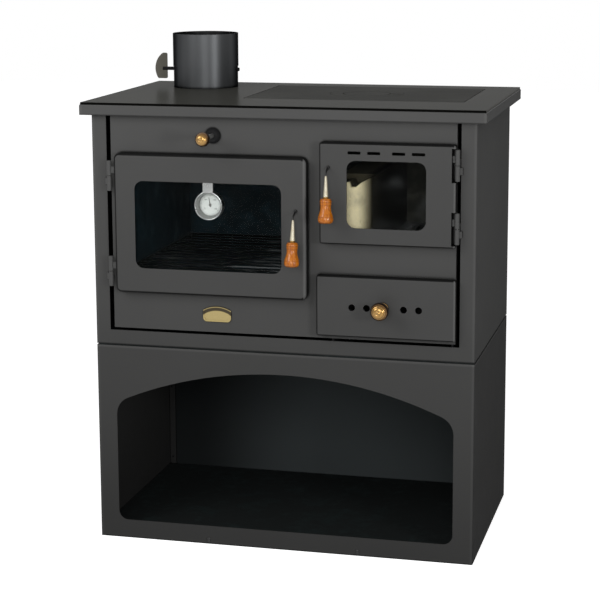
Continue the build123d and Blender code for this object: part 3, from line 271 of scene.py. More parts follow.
class Finish(Shading):
    """A material, with the stove's own coordinates x, y and z in metres."""

    def __init__(self, name):
        super().__init__(bpy.data.materials.new(name), "ShaderNodeOutputMaterial")
        self.place = self.add("ShaderNodeTexCoord", {}, out="Object")
        axes = self.add("ShaderNodeSeparateXYZ", {}, self.place).output.node.outputs
        self.x, self.y, self.z = (Socket(self, axis) for axis in axes)

    def noise(self, scale, detail=2.0, rough=0.5, place=None):
        """Fractal noise between 0 and 1 at a scale in features per metre."""
        settings = {"noise_dimensions": "3D"}
        return self.add("ShaderNodeTexNoise", settings, place or self.place, scale, detail, rough)

    def streaks(self, scales, detail=2.0, rough=0.5):
        """Fractal noise with its own number of features per metre along each axis."""
        place = self.add("ShaderNodeVectorMath", {"operation": "MULTIPLY"}, self.place, scales)
        return self.noise(1.0, detail, rough, place)

    def radius(self, *centre):
        """Distance from a point; None leaves that axis out."""
        pairs = zip((self.x, self.y, self.z), centre)
        return sum((axis - at) ** 2.0 for axis, at in pairs if at is not None) ** 0.5

    def open_air(self, reach):
        """1 on open faces, falling to 0 in corners and slits narrower than the reach."""
        return self.add("ShaderNodeAmbientOcclusion", {"samples": 8}, Distance=reach, out="AO")

    def tint(self, base, strength):
        """A colour times a varying strength."""
        return self.add("ShaderNodeVectorMath", {"operation": "SCALE"}, base, strength)

    def mix(self, mask, low, high):
        """The colour low where the mask is 0 and high where it is 1."""
        return self.add("ShaderNodeMix", {"data_type": "RGBA"}, mask, low, high)

    def bump(self, height, depth):
        """A normal for a height between 0 and 1 over a depth in metres."""
        return self.add("ShaderNodeBump", {}, Strength=1.0, Distance=depth, Height=height)

    def principled(self, base, roughness, metallic=0.0, normal=None, **constants):
        """A Principled shader; constants are set on its own sockets."""
        return self.add(
            "ShaderNodeBsdfPrincipled", {}, Base_Color=base, Roughness=roughness, Metallic=metallic,
            Normal=normal, **constants,
        )

    def surface(self, *values, **constants):
        """The finished material, with one Principled shader on its output."""
        return self.show(self.principled(*values, **constants))


def darker(base, *shares):
    """A colour times one share, or times a share for each of its parts."""
    return tuple(np.multiply(base, shares))


# ---------------------------------------------------------------- enamels and their shading

def enamel(name, base, roughness=0.50, crevice=3.0, shade=None, shine=0.12, texture=0.05):
    """Satin powder coat: orange peel, faint clouding and painted shade in crevices beside other sheets.

    The colour falls a little toward the body's foot as painted shade. texture is the orange peel's depth
    and crevice the reach of the painted crevice shade, both in millimetres; crevice may also be a function
    of the finish, in metres. shade takes the finish and returns a factor for the colour, which carries
    painted shade and highlights, and an addition to the roughness.
    """
    look = Finish(name)
    cloud = look.noise(4.0, 3.0)
    peel = look.noise(1300.0, 1.0)
    # painted shade: ambient occlusion darkens crevices and the sheet beside other parts
    crevice_shade = look.open_air(crevice(look) if callable(crevice) else crevice * MM).clamp(0.53, 0.88)
    # painted shade: the colour falls toward the body's foot
    risen = look.z.clamp(BODY_FOOT, BODY_TOP)
    tone = (0.90 + 0.20 * cloud) * (0.05 + 0.95 * crevice_shade) * (0.86 + 0.14 * risen)
    gloss = roughness + 2.0 * texture * (look.noise(35.0) - 0.5)
    if shade:
        depth, duller = shade(look)
        tone = tone * depth
        gloss = gloss + duller
    normal = look.bump(peel, texture * MM)
    return look.surface(look.tint(base, tone), gloss, normal=normal, Specular_IOR_Level=shine)


def panel_shade_reach(look):
    """Reach of the painted shade on the front panel: wide beside the doors, narrow along its own edges."""
    low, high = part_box("front_panel")
    border = (abs(look.x) > high.x - 7.0 * MM).larger(look.z < low.z + 6.0 * MM)
    return (7.5 - 6.5 * border) * MM


def casing_shade(node, side, inside, foot, foot_shade_rise, top_highlight=0.0):
    """Painted shade and highlights of a folded casing, from factors for its side sheets, inner faces and
    foot.

    The side sheets and the foot get painted shade. The foot's factor rises to 1 over the foot rise, a
    share of the height, and within the last 3 mm the colour falls to 0.3 of it, painted shade along the
    bottom edge. The front's upright folds get a painted highlight of a fifth, and the top edge one whose
    gain is given as the top highlight.
    """
    low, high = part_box(node)

    def shade(look):
        aside = abs(look.x)
        outer = aside > high.x - 0.4 * MM
        inner = (look.y > low.y + 1.5 * MM) * (aside < high.x - 1.0 * MM)
        rise = look.z.clamp(low.z, low.z + foot_shade_rise * (high.z - low.z))
        # painted highlight on the front's upright folds
        fold = aside.clamp(high.x - 6.5 * MM, high.x - 3.5 * MM) * (look.y < low.y + 0.5 * MM)
        # painted highlight along the top edge
        top = look.z.clamp(high.z - 5.0 * MM, high.z - 2.5 * MM)
        # painted shade along the bottom edge
        under = look.z.clamp(low.z, low.z + 3.0 * MM)
        # painted shade on the side sheets; inner faces darker
        depth = 1.0 - (1.0 - side) * outer - (1.0 - inside) * inner
        depth = depth * (1.0 + 0.20 * fold) * (1.0 + top_highlight * top) * (0.3 + 0.7 * under)
        return depth * (foot + (1.0 - foot) * rise), 0.38 * outer + 0.2 * inner

    return shade


def tray_shade(node, fold):
    """Painted shade and a painted highlight on a folded tray.

    Black from early in its folds, but late in the right one, which has the painted highlight.
    """
    low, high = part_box(node)

    def shade(look):
        right = look.x > high.x - fold
        start = low.y + (0.015 + 0.80 * right) * fold
        # painted shade: the folds turn black behind the front face
        behind = (look.y - start).clamp(0.0, 0.08 * fold)
        # painted highlight along the right fold
        gleam = look.x.clamp(high.x - 1.2 * fold, high.x - 0.5 * fold)
        return (1.0 + 0.8 * gleam) * (1.0 - 0.94 * behind), 0.3 * behind

    return shade


def plate_edge(node):
    """Painted shade of a plate: its front and back cut edges are black."""
    low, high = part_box(node)
    edge = 1.0 * MM

    def shade(look):
        rim = (look.y < low.y + edge).larger(look.y > high.y - edge)
        return 1.0 - 0.93 * rim, 0.3 * rim

    return shade


def store_shade(node):
    """Painted shade on the log store's back, on its inner face: darker toward both ends and under the
    body.
    """
    low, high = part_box(node)

    def shade(look):
        left = look.x.clamp(low.x + 60.0 * MM, low.x + 330.0 * MM)
        right = look.x.clamp(high.x - 330.0 * MM, high.x - 40.0 * MM)
        under = look.z.clamp(high.z - 140.0 * MM, high.z)
        outside = look.y > high.y - 0.5 * MM
        depth = (0.20 + 0.80 * left) * (1.0 - 0.5 * under) * (1.0 - 0.25 * right)
        return depth.larger(outside), 0.0

    return shade


# ---------------------------------------------------------------- other finishes

def rolled_sheet(name, base, node):
    """Painted sheet whose sheen dies away where the wall turns aside; dark inside and at its foot."""
    low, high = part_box(node)
    middle = (low + high) / 2
    outer = (high.x - low.x) / 2
    look = Finish(name)
    bands = look.streaks((70.0, 70.0, 2.0))
    inside = look.radius(middle.x, middle.y, None) < outer - 1.6 * MM
    foot = 1.0 - look.z.clamp(low.z, low.z + 6.0 * MM)
    tone = (0.75 + 0.5 * bands) * (1.0 - 0.75 * inside) * (1.0 - 0.8 * foot)
    return look.surface(look.tint(base, tone), 0.35 + 0.06 * bands, 1.0, Specular_Tint=(0.0, 0.0, 0.0))


def soot_black(name, base):
    """Dull black inner paint with ashy blotches."""
    look = Finish(name)
    blotch = look.noise(22.0, 4.0, 0.65).clamp(0.45, 0.75)
    return look.surface(
        look.tint(base, 0.8 + 1.3 * blotch), 0.80 - 0.15 * blotch,
        normal=look.bump(look.noise(600.0), 0.10 * MM), Specular_IOR_Level=0.2,
    )


def ground_iron(name, base, centre):
    """Machined casting: fine turning rings about a centre over a mottled grain."""
    look = Finish(name)
    pitch = 1.6 * MM
    rings = (look.radius(centre[0], centre[1], None) * (2 * math.pi / pitch)).sin()
    grain = look.noise(260.0, 4.0, 0.6)
    stain = look.noise(9.0, 3.0).clamp(0.35, 0.7)
    tint = look.tint(base, (0.75 + 0.35 * grain) * (0.85 + 0.30 * stain))
    normal = look.bump(0.5 * grain + 0.08 * rings, 0.04 * MM)
    return look.surface(tint, 0.30 + 0.16 * grain, 0.0, normal, Specular_IOR_Level=0.0011)


def bare_metal(name, base, roughness, per_metre=(40.0, 40.0, 900.0), depth=0.02):
    """Metal with tool marks: their number per metre along each axis and their depth in millimetres."""
    look = Finish(name)
    marks = look.streaks(per_metre, 3.0)
    tint = look.tint(base, 0.86 + 0.28 * marks)
    return look.surface(tint, roughness + 0.12 * marks, 1.0, look.bump(marks, depth * MM))


def sooted_wire_with_glints(name, base):
    """Drawn wire blackened by baking, with painted glints in patches, mostly at the right."""
    look = Finish(name)
    # painted glints: bright patches, placed mostly toward the right
    glint_spread = 0.18 * look.x.clamp(-160.0 * MM, -20.0 * MM) - 0.11
    glint_patch = (look.streaks((7.0, 30.0, 7.0), 3.0) + glint_spread).clamp(0.50, 0.68)
    tint = look.tint(base, 0.03 + 0.97 * glint_patch)
    return look.surface(tint, 0.42 - 0.10 * glint_patch, 0.5, Specular_IOR_Level=0.02)


def turned_brass(name, base, centre, ball):
    """Lacquered brass of a knob, with painted shade in its grooves and toward the edge of its ball."""
    look = Finish(name)
    # painted shade toward the edge of the ball
    edge = look.radius(centre[0], None, centre[2]).clamp(0.50 * ball, 1.0 * ball)
    turning = look.streaks((300.0, 2500.0, 300.0))
    # painted shade in the grooves, from ambient occlusion
    hollow = look.open_air(4.0 * MM).clamp(0.35, 0.95)
    tone = (0.9 + 0.2 * turning) * (0.45 + 0.55 * hollow)
    shade = look.mix(edge, base, darker(base, 0.34, 0.24, 0.14))
    return look.surface(
        look.tint(shade, tone), 0.20 + 0.10 * turning, 1.0, look.bump(turning, 0.02 * MM),
        Coat_Weight=0.5, Coat_Roughness=0.05,
    )


def varnished_wood(name, base, grain):
    """Turned beech under amber varnish: drawn-out grain, pores and painted shade in its grooves."""
    look = Finish(name)
    wavy = look.streaks((420.0, 420.0, 26.0), 4.0, 0.6)
    pores = look.streaks((2200.0, 2200.0, 120.0)).clamp(0.58, 0.72)
    # painted shade in the grooves, from ambient occlusion
    hollow = look.open_air(2.5 * MM).clamp(0.55, 0.97)
    shade = look.mix(wavy.clamp(0.42, 0.66) * 0.75, base, grain)
    tone = (1.0 - 0.35 * pores) * (0.22 + 0.78 * hollow)
    return look.surface(
        look.tint(shade, tone), 0.40, 0.0, look.bump(wavy - 0.5 * pores, 0.12 * MM),
        Coat_Weight=0.55, Coat_Roughness=0.12, Coat_IOR=1.5, Specular_IOR_Level=0.05,
    )


def pale_lacquer(name, base):
    """Ferrule: pale lacquered brass with drawing marks and brown stains."""
    look = Finish(name)
    marks = look.streaks((700.0, 700.0, 60.0), 3.0)
    stain = look.noise(120.0, 3.0).clamp(0.45, 0.75)
    shade = look.mix(stain * 0.4, base, darker(base, 0.75, 0.55, 0.3))
    return look.surface(
        look.tint(shade, 0.85 + 0.3 * marks), 0.28 + 0.12 * marks, 0.35, look.bump(marks, 0.02 * MM),
        Coat_Weight=0.4, Coat_Roughness=0.15,
    )


def fired_clay(name, base, node, smoked_above):
    """Firebrick: grog specks, pores, smoke on top, painted shade on its right corner and behind its front.
    """
    low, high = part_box(node)
    look = Finish(name)
    specks = look.noise(420.0, 3.0, 0.7)
    pores = look.noise(160.0, 4.0, 0.65).clamp(0.62, 0.74)
    ragged = look.noise(26.0, 4.0) - 0.5
    risen = (look.z + 0.05 * ragged).clamp(smoked_above, smoked_above + 30.0 * MM)
    # painted shade on the right corner and on the faces behind the front
    corner = (look.x + 0.01 * ragged).clamp(high.x - 27.0 * MM, high.x - 5.0 * MM)
    behind = (look.y + 0.003 * ragged).clamp(low.y + 2.5 * MM, low.y + 15.0 * MM)
    free_of_smoke_and_shade = (1.0 - 0.85 * risen) * (1.0 - 0.80 * corner) * (1.0 - 0.93 * behind)
    tone = (0.82 + 0.36 * specks) * (1.0 - 0.45 * pores) * free_of_smoke_and_shade
    normal = look.bump(0.4 * specks - pores, 0.5 * MM)
    return look.surface(look.tint(base, tone), 0.92, 0.0, normal, Specular_IOR_Level=0.05)


def woven_tape(name, base):
    """Glass tape: two sets of slanting threads that cross."""
    look = Finish(name)
    turns = 2 * math.pi / (1.7 * MM)
    rising = ((look.x + look.z) * turns).sin()
    falling = ((look.x - look.z) * turns).sin()
    threads = 0.5 + 0.25 * (rising + falling)
    tint = look.tint(base, 0.5 + 0.7 * threads + 0.3 * look.noise(900.0))
    normal = look.bump(threads, 0.4 * MM)
    return look.surface(tint, 0.95, 0.0, normal, Sheen_Weight=0.3, Specular_IOR_Level=0.2)


def stove_glass(name, tint, gloss, dirt=0.03):
    """Ceramic glass: see-through, with smears and a reflection that grows toward the edge-on view."""
    look = Finish(name)
    glaze = look.principled((0.02, 0.024, 0.024), gloss, Specular_IOR_Level=0.6)
    smears = look.noise(14.0, 4.0, 0.6).clamp(0.45, 0.8)
    clear = look.add("ShaderNodeBsdfTransparent", {}, tint)
    slant = look.add("ShaderNodeLayerWeight", {}, 0.25, out="Fresnel")
    share = 0.01 + 0.40 * slant + dirt * smears
    return look.show(look.add("ShaderNodeMixShader", {}, share, clear, glaze))


def dial_white(name, base, centre):
    """Printed dial: white, with faint painted shade toward its rim."""
    look = Finish(name)
    rim = look.radius(centre[0], None, centre[2]).clamp(15.0 * MM, 20.5 * MM)
    return look.surface(look.tint(base, 1.0 - 0.25 * rim - 0.05 * look.noise(400.0)), 0.5)


def printed_ink(name, base):
    """Matt printing ink with slightly uneven cover."""
    look = Finish(name)
    return look.surface(look.tint(base, 0.8 + 0.4 * look.noise(1500.0)), 0.6)


def badge_brass(name, base, band_colour, node):
    """Bare badge: fine stipple on the field and a dark band under the arched top."""
    low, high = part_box(node)
    look = Finish(name)
    half = (high.x - low.x) / 2
    height = high.z - low.z
    rise = height / 4
    arch = (half ** 2 + rise ** 2) / (2 * rise)
    out = look.radius((low.x + high.x) / 2, None, high.z - arch)
    band = out.clamp(arch - 0.30 * height, arch - 0.24 * height)
    border = out.clamp(arch - 0.07 * height, arch - 0.03 * height)
    stipple = look.noise(900.0, 2.0, 0.7)
    shade = look.mix(band * (1.0 - 0.8 * border), base, band_colour)
    return look.surface(look.tint(shade, 0.65 + 0.6 * stipple), 0.45, 0.6, look.bump(stipple, 0.15 * MM))


def dress(material, *names):
    """Gives a material to CAD nodes."""
    for name in names:
        slots = NODES[name].data.materials
        slots.clear()
        slots.append(material)


# ---------------------------------------------------------------- surfaces

def grid_faces(rows, columns):
    """Corner numbers of the quads of a grid of points whose last column joins the first."""
    index = np.arange(rows * columns).reshape(rows, columns)
    index = np.hstack([index, index[:, :1]])
    corners = [index[:-1, :-1], index[:-1, 1:], index[1:, 1:], index[1:, :-1]]
    return np.stack(corners, -1).reshape(-1, 4)


def repeated(faces, count, points):
    """The faces of one of several like shapes, repeated for each shape's own points."""
    return (faces + points * np.arange(count)[:, None, None]).reshape(-1, 4)


def make_piece(name, points, faces, material, body, slot, replaces=()):
    """A closed mesh from arrays of points and quads, with outward faces, riding on a body."""
    mesh = bpy.data.meshes.new(name)
    mesh.from_pydata(points.reshape(-1, 3).tolist(), [], faces.tolist())
    work = bmesh.new()
    work.from_mesh(mesh)
    bmesh.ops.remove_doubles(work, verts=work.verts, dist=1e-7)
    bmesh.ops.recalc_face_normals(work, faces=work.faces)
    work.to_mesh(mesh)
    work.free()
    mesh.polygons.foreach_set("use_smooth", np.ones(len(mesh.polygons), bool))
    mesh.set_sharp_from_angle(angle=SHARP_BEND)
    mesh.materials.append(material)
    piece = bpy.data.objects.new(name, mesh)
    bpy.context.scene.collection.objects.link(piece)
    if replaces:
        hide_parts(*replaces)
    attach(piece, body)
    return piece


def turned(h, r, origin, axis, segments=64):
    """Points of a surface of revolution: origin + h * axis + r * (cos t * side + sin t * up).

    h and r are the profile's heights and radii, and t runs once round.
    """
    side = np.cross(axis, Z if abs(axis[2]) < 0.9 else X)
    side = side / np.linalg.norm(side)
    up = np.cross(axis, side)
    t = np.linspace(0.0, 2 * math.pi, segments, endpoint=False)
    ring = np.cos(t)[:, None] * side + np.sin(t)[:, None] * up
    points = np.asarray(origin) + h[:, None, None] * axis + r[:, None, None] * ring
    return points, grid_faces(len(r), segments)


def drawn_profile(outline, samples):
    """Heights and radii of a smooth profile through an outline of pairs (height, radius).

    Each span is a cubic Hermite curve, with slopes from the neighbouring points.
    """
    stations, radii = np.transpose(outline)
    slopes = np.gradient(radii, stations)
    h = np.linspace(stations[0], stations[-1], samples)
    i = np.clip(np.searchsorted(stations, h, side="right") - 1, 0, len(stations) - 2)
    span = stations[i + 1] - stations[i]
    t = (h - stations[i]) / span
    start = (1 + 2 * t) * (1 - t) ** 2 * radii[i] + t * (1 - t) ** 2 * span * slopes[i]
    end = t ** 2 * (3 - 2 * t) * radii[i + 1] + t ** 2 * (t - 1) * span * slopes[i + 1]
    return h, start + end


def groove(h, at, width, depth):
    """A turned groove: a bell curve of the given depth about a place on the profile."""
    return depth * np.exp(-(((h - at) / width) ** 2))


def capped(h, r):
    """A profile that starts and ends on its axis."""
    return np.concatenate([h[:1], h, h[-1:]]), np.concatenate([[0.0], r, [0.0]])


def banded(path, width, thickness):
    """Points of a strip carried along a path: width along X, thickness square to X and to the path."""
    run = np.gradient(path, axis=0)
    run /= np.linalg.norm(run, axis=1)[:, None]
    square = np.cross(run, X)
    across = np.array([-1, 1, 1, -1]) * width / 2
    through = np.array([0, 0, 1, 1]) * thickness
    points = path[:, None] + across[None, :, None] * X + through[None, :, None] * square[:, None]
    ends = np.array([[0, 1, 2, 3], np.arange(4) + 4 * (len(path) - 1)])
    return points, np.vstack([grid_faces(len(path), 4), ends])


def bars(centres, directions, sizes):
    """Points of straight bars: centre +- half a size along each of three directions."""
    signs = np.array([[a, b, c] for a in (-1, 1) for b in (-1, 1) for c in (-1, 1)]) / 2
    steps = signs[None] * np.stack(sizes, 1)[:, None, :]
    points = centres[:, None] + np.einsum("nks,nsd->nkd", steps, np.stack(directions, 1))
    quads = [[0, 1, 3, 2], [4, 6, 7, 5], [0, 4, 5, 1], [2, 3, 7, 6], [0, 2, 6, 4], [1, 5, 7, 3]]
    return points, repeated(np.array(quads), len(centres), len(signs))


def node_points(node):
    """The points of a CAD node as an array."""
    vertices = NODES[node].data.vertices
    points = np.empty(len(vertices) * 3)
    vertices.foreach_get("co", points)
    return points.reshape(-1, 3)


def middle_of(node):
    """Centre of a CAD node's box."""
    low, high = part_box(node)
    return np.array((low + high) / 2)


def leaning(node, turn):
    """Foot, direction and length of a turned piece of a drop handle, from its solid's points."""
    upright = math.cos(HANDLE_LEAN)
    axis = np.array([-math.sin(turn) * upright, math.sin(HANDLE_LEAN), math.cos(turn) * upright])
    points = node_points(node)
    along = points @ axis
    foot = points[along < along.min() + 0.1 * MM]
    return (foot.min(0) + foot.max(0)) / 2, axis, along.max() - along.min()


# ---------------------------------------------------------------- operators

class StovePiece:
    """What the stove's operators share."""

    bl_options = {"REGISTER", "UNDO"}


class STOVE_OT_casing(StovePiece, bpy.types.Operator):
    """Enamel the base, the casing and the front panel"""

    bl_idname = "stove.casing"
    bl_label = "Casing"

    def execute(self, context):
        """Outer sheets in anthracite enamel, inner sheets in black."""
        colours = context.scene.stove_colours
        shade = casing_shade("body_casing", side=0.86, inside=0.25, foot=0.93, foot_shade_rise=0.2)
        dress(enamel("body enamel", colours.casing, shade=shade, shine=0.03), "body_casing")
        shade = casing_shade("base_casing", side=0.56, inside=0.55, foot=0.70, foot_shade_rise=1.0, top_highlight=0.35)
        # painted shade: the base's enamel is a darker copy of the casing's
        base = darker(colours.casing, 0.88)
        dress(enamel("base enamel", base, shade=shade, shine=0.03), "base_casing")
        dress(enamel("panel enamel", colours.casing, crevice=panel_shade_reach, shine=0.05), "front_panel")
        dress(enamel("back enamel", colours.casing, roughness=0.7), "body_back")
        shade = store_shade("base_back")
        dress(enamel("store enamel", colours.store, roughness=0.6, shade=shade, shine=0.03), "base_back")
        dress(soot_black("store floor black", colours.store_floor), "base_floor", "body_bottom")
        dress(enamel("hinge enamel", colours.casing, SATIN), "hinge_lower_knuckles")
        dress(bare_metal("hinge pin steel", colours.steel, 0.35), "hinge_pins")
        dress(soot_black("latch pocket paint", colours.black), "latch_pockets")
        return {"FINISHED"}


class STOVE_OT_screws(StovePiece, bpy.types.Operator):
    """Screw heads of the base's front edge and of the back panels"""

    bl_idname = "stove.screws"
    bl_label = "Screws"

    def execute(self, context):
        """A head on each screw's outer end: the foremost ends look forward, the rearmost ones back."""
        sizes, colours = context.scene.stove_sizes, context.scene.stove_colours
        points = node_points("case_screws")
        skin = 0.1 * MM
        foremost = points[points[:, 1] < points[:, 1].min() + skin]
        rearmost = points[points[:, 1] > points[:, 1].max() - skin]
        heads = []
        for ends, way in ((foremost, -1.0), (rearmost, 1.0)):
            cells = np.round(ends[:, [0, 2]] / SCREW_CELL)
            for cell in np.unique(cells, axis=0):
                middle = ends[(cells == cell).all(1)].mean(0)
                heads.append(self.head(middle, way, sizes.screw_head, sizes.screw_rise))
        rows, columns = heads[0].shape[:2]
        faces = repeated(grid_faces(rows, columns), len(heads), rows * columns)
        metal = bare_metal("blackened screw", colours.screw, 0.45, (900.0, 900.0, 900.0))
        make_piece("screw_heads", np.stack(heads), faces, metal, "stove", "steel", ("case_screws",))
        return {"FINISHED"}

    def head(self, middle, way, radius, rise):
        """Points of a domed head with a cross recess: height = rise * (1 - r^4 - depth * cross).

        r is the distance from the axis as a share of the radius. cross falls from 1 on the middle line of
        each of its two arms to 0 past half.
        """
        half, arm, depth = 0.16, 0.6, 0.55
        sunk, thickness = 0.2 * MM, 0.1 * MM
        r = np.linspace(0.0, 1.0, 15)[:, None]
        t = np.linspace(0.0, 2 * math.pi, 48, endpoint=False)[None]
        across, up = r * np.cos(t), r * np.sin(t)
        upright = np.exp(-((across / half) ** 4)) * (np.abs(up) < arm)
        level = np.exp(-((up / half) ** 4)) * (np.abs(across) < arm)
        dome = 1.0 - r ** 4 - depth * np.clip(upright + level, 0.0, 1.0)
        base = middle[1] - way * (rise + sunk)
        under = base - way * thickness
        out = base + way * rise * dome
        front = np.stack([middle[0] + radius * across, out, middle[2] + radius * up], -1)
        back = front[-1:] * [1, 0, 1] + [0, under, 0]
        centre = np.broadcast_to([middle[0], under, middle[2]], back.shape)
        return np.concatenate([front, back, centre])


class STOVE_OT_hob(StovePiece, bpy.types.Operator):
    """Paint the hob and grind its castings"""

    bl_idname = "stove.hob"
    bl_label = "Hob"

    def execute(self, context):
        """Top plate in smooth paint, skirt in enamel, cooking plate and lid in ground iron."""
        colours = context.scene.stove_colours
        paint = enamel(
            "hob paint", colours.hob, roughness=0.27, crevice=6.0, shade=plate_edge("hob_plate"),
            shine=0.0009, texture=0.002,
        )
        dress(paint, "hob_plate")
        shade = casing_shade("hob_frame", side=0.72, inside=0.9, foot=1.0, foot_shade_rise=1.0)
        # painted shade: the skirt's enamel is a darker copy of the casing's
        dress(enamel("hob skirt enamel", darker(colours.casing, 0.93), shade=shade), "hob_frame")
        lid = middle_of("round_lid")
        dress(ground_iron("ground cooking plate", colours.casting, lid), "cooking_plate")
        dress(ground_iron("ground lid", colours.casting, lid), "round_lid")
        return {"FINISHED"}


class STOVE_OT_flue(StovePiece, bpy.types.Operator):
    """Paint the flue collar and its damper"""

    bl_idname = "stove.flue"
    bl_label = "Flue collar and damper"

    def execute(self, context):
        """Collar in sheet paint, handle in enamel, shaft and disc in black."""
        colours = context.scene.stove_colours
        dress(rolled_sheet("collar paint", colours.collar, "flue_collar"), "flue_collar")
        dress(enamel("damper enamel", colours.damper, roughness=0.45, crevice=2.0), "damper_handle")
        dress(soot_black("damper black", colours.black), "damper_shaft", "damper_disc")
        return {"FINISHED"}


class STOVE_OT_doors(StovePiece, bpy.types.Operator):
    """Finish both doors with their glass, seals and clips"""

    bl_idname = "stove.doors"
    bl_label = "Doors"

    def execute(self, context):
        """Trays in enamel, panes in clear ceramic glass, seals in woven tape."""
        colours = context.scene.stove_colours
        # painted shade: each door's enamel is a darker copy of the casing's, by its share
        for door, fold, share in (("oven_door", 5.5 * MM, 0.81), ("firebox_door", 3.5 * MM, 0.75)):
            tray = darker(colours.casing, share)
            dress(enamel(f"{door} enamel", tray, SATIN, shade=tray_shade(door, fold)), door)
        knuckle = enamel("knuckle enamel", colours.casing, SATIN)
        dress(knuckle, "oven_upper_knuckles", "firebox_upper_knuckles")
        dress(stove_glass("oven glass", (0.98, 0.995, 0.995), 0.06), "oven_door_glass")
        dress(stove_glass("firebox glass", (0.99, 0.99, 0.98), 0.06, dirt=0.35), "firebox_door_glass")
        dress(woven_tape("woven seal", colours.seal), "oven_door_seal", "firebox_door_seal")
        dress(bare_metal("clip steel", colours.steel, 0.4), "oven_glass_clips", "firebox_glass_clips")
        return {"FINISHED"}


class STOVE_OT_handles(StovePiece, bpy.types.Operator):
    """Turned grips and ferrules of the drop handles"""

    bl_idname = "stove.handles"
    bl_label = "Drop handles"

    def execute(self, context):
        """Grip, ferrule and ring of each handle, revolved about its own leaning axis."""
        sizes, colours = context.scene.stove_sizes, context.scene.stove_colours
        wood = varnished_wood("varnished grip", colours.wood, colours.grain)
        ivory = pale_lacquer("ferrule lacquer", colours.ivory)
        brass = bare_metal("ferrule ring brass", colours.brass, 0.25)
        rod = bare_metal("blackened rod", colours.rod, 0.45)
        tongue = bare_metal("latch zinc", colours.steel, 0.42, (60.0, 900.0, 60.0))
        for door in ("oven", "firebox"):
            self.grip(door, sizes, wood)
            self.ferrule(door, sizes, ivory, brass)
            dress(rod, f"{door}_latch_rod")
            dress(tongue, f"{door}_latch_tongue")
        return {"FINISHED"}

    def grip(self, door, sizes, wood):
        """Rounded foot, flare, waist and a shoulder: a smooth profile less its turned grooves."""
        node = f"{door}_latch_grip"
        origin, axis, tall = leaning(node, HANDLE_TURN[door])
        foot, waist, ring = sizes.grip_foot, sizes.grip_waist, sizes.grip_ring
        outline = [
            (0.0, 0.64 * foot), (0.03, 0.82 * foot), (0.09, 0.96 * foot), (0.18, foot),
            (0.28, 0.965 * foot), (0.45, 1.15 * waist), (0.56, 1.03 * waist), (0.66, waist),
            (0.78, ring), (0.93, ring), (0.985, 0.88 * ring), (1.0, 0.78 * ring),
        ]
        h, r = drawn_profile([(share * tall, radius) for share, radius in outline], 96)
        grooves = ((0.72, 0.5, 0.6), (0.84, 0.5, 0.6), (0.94, 0.5, 0.6), (0.245, 0.45, 0.5))
        for share, width, depth in grooves:
            r = r - groove(h, share * tall, width * MM, depth * MM)
        surface = turned(*capped(h, r), origin, axis)
        make_piece(f"{door}_grip", *surface, wood, f"{door}_latch", "wood", (node,))

    def ferrule(self, door, sizes, ivory, brass):
        """A hollow-sided cone over a ring with two beads: radius = foot * (0.93 + 0.07 * |sin|)."""
        node, body = f"{door}_latch_ferrule", f"{door}_latch"
        origin, axis, tall = leaning(node, HANDLE_TURN[door])
        top, foot, seat = sizes.ferrule_top, sizes.ferrule_foot, sizes.ferrule_ring
        outline = [
            (seat, 0.94 * foot), (0.3 * tall, 0.80 * foot), (0.65 * tall, 0.60 * foot),
            (0.97 * tall, top), (tall, 0.86 * top),
        ]
        cone = turned(*capped(*drawn_profile(outline, 48)), origin, axis, 40)
        make_piece(f"{door}_ferrule", *cone, ivory, body, "nickel", (node,))
        h = np.linspace(0.0, seat, 20)
        r = foot * (0.93 + 0.07 * np.abs(np.sin(h / seat * 2 * math.pi)))
        beads = turned(*capped(h, r), origin, axis, 40)
        make_piece(f"{door}_ferrule_ring", *beads, brass, body, "brass")


class STOVE_OT_knobs(StovePiece, bpy.types.Operator):
    """Turned brass knobs of the ash drawer and of the smoke bypass"""

    bl_idname = "stove.knobs"
    bl_label = "Knobs"

    def execute(self, context):
        """Both knobs, and the bypass's rod, rosette, gate and baffle."""
        colours = context.scene.stove_colours
        self.knob("ash_knob", "ash_drawer", colours.brass, 3)
        self.knob("bypass_knob", "bypass", colours.brass, 1)
        dress(bare_metal("bypass rod steel", colours.steel, 0.35, (40.0, 900.0, 40.0)), "bypass_rod")
        dress(soot_black("rosette black", colours.black), "bypass_rosette")
        dress(soot_black("gate black", colours.black), "bypass_gate", "smoke_baffle")
        return {"FINISHED"}

    def knob(self, node, body, brass, grooves):
        """A grooved ball on a waisted neck, revolved about Y.

        The ball is h = ball * (1 - cos turn) and r = ball * sin turn. Its radius and the knob's length
        come from the node's box.
        """
        low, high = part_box(node)
        centre = middle_of(node)
        ball = (high.x - low.x) / 2
        tall = high.y - low.y
        turn = np.linspace(0.0, 0.86 * math.pi, 60)
        r = ball * np.sin(turn)
        h = ball * (1 - np.cos(turn))
        for k in range(grooves):
            r = r - groove(turn, 0.42 + 0.30 * k, 0.045, 0.05 * ball)
        h = h + groove(turn, 0.22, 0.07, 0.06 * ball)
        neck = [
            (h[-1], r[-1]), (h[-1] + 0.10 * ball, 0.42 * ball), (tall - 0.24 * ball, 0.46 * ball),
            (tall - 0.12 * ball, 0.62 * ball), (tall, 0.60 * ball),
        ]
        neck_h, neck_r = drawn_profile(neck, 24)
        h = np.concatenate([h, neck_h[1:], [tall]])
        r = np.concatenate([np.maximum(r, 0.0), neck_r[1:], [0.0]])
        finish = turned_brass(f"{node} brass", brass, centre, ball)
        surface = turned(h, r, (centre[0], low.y, centre[2]), Y)
        make_piece(f"{node}_turned", *surface, finish, body, "brass", (node,))


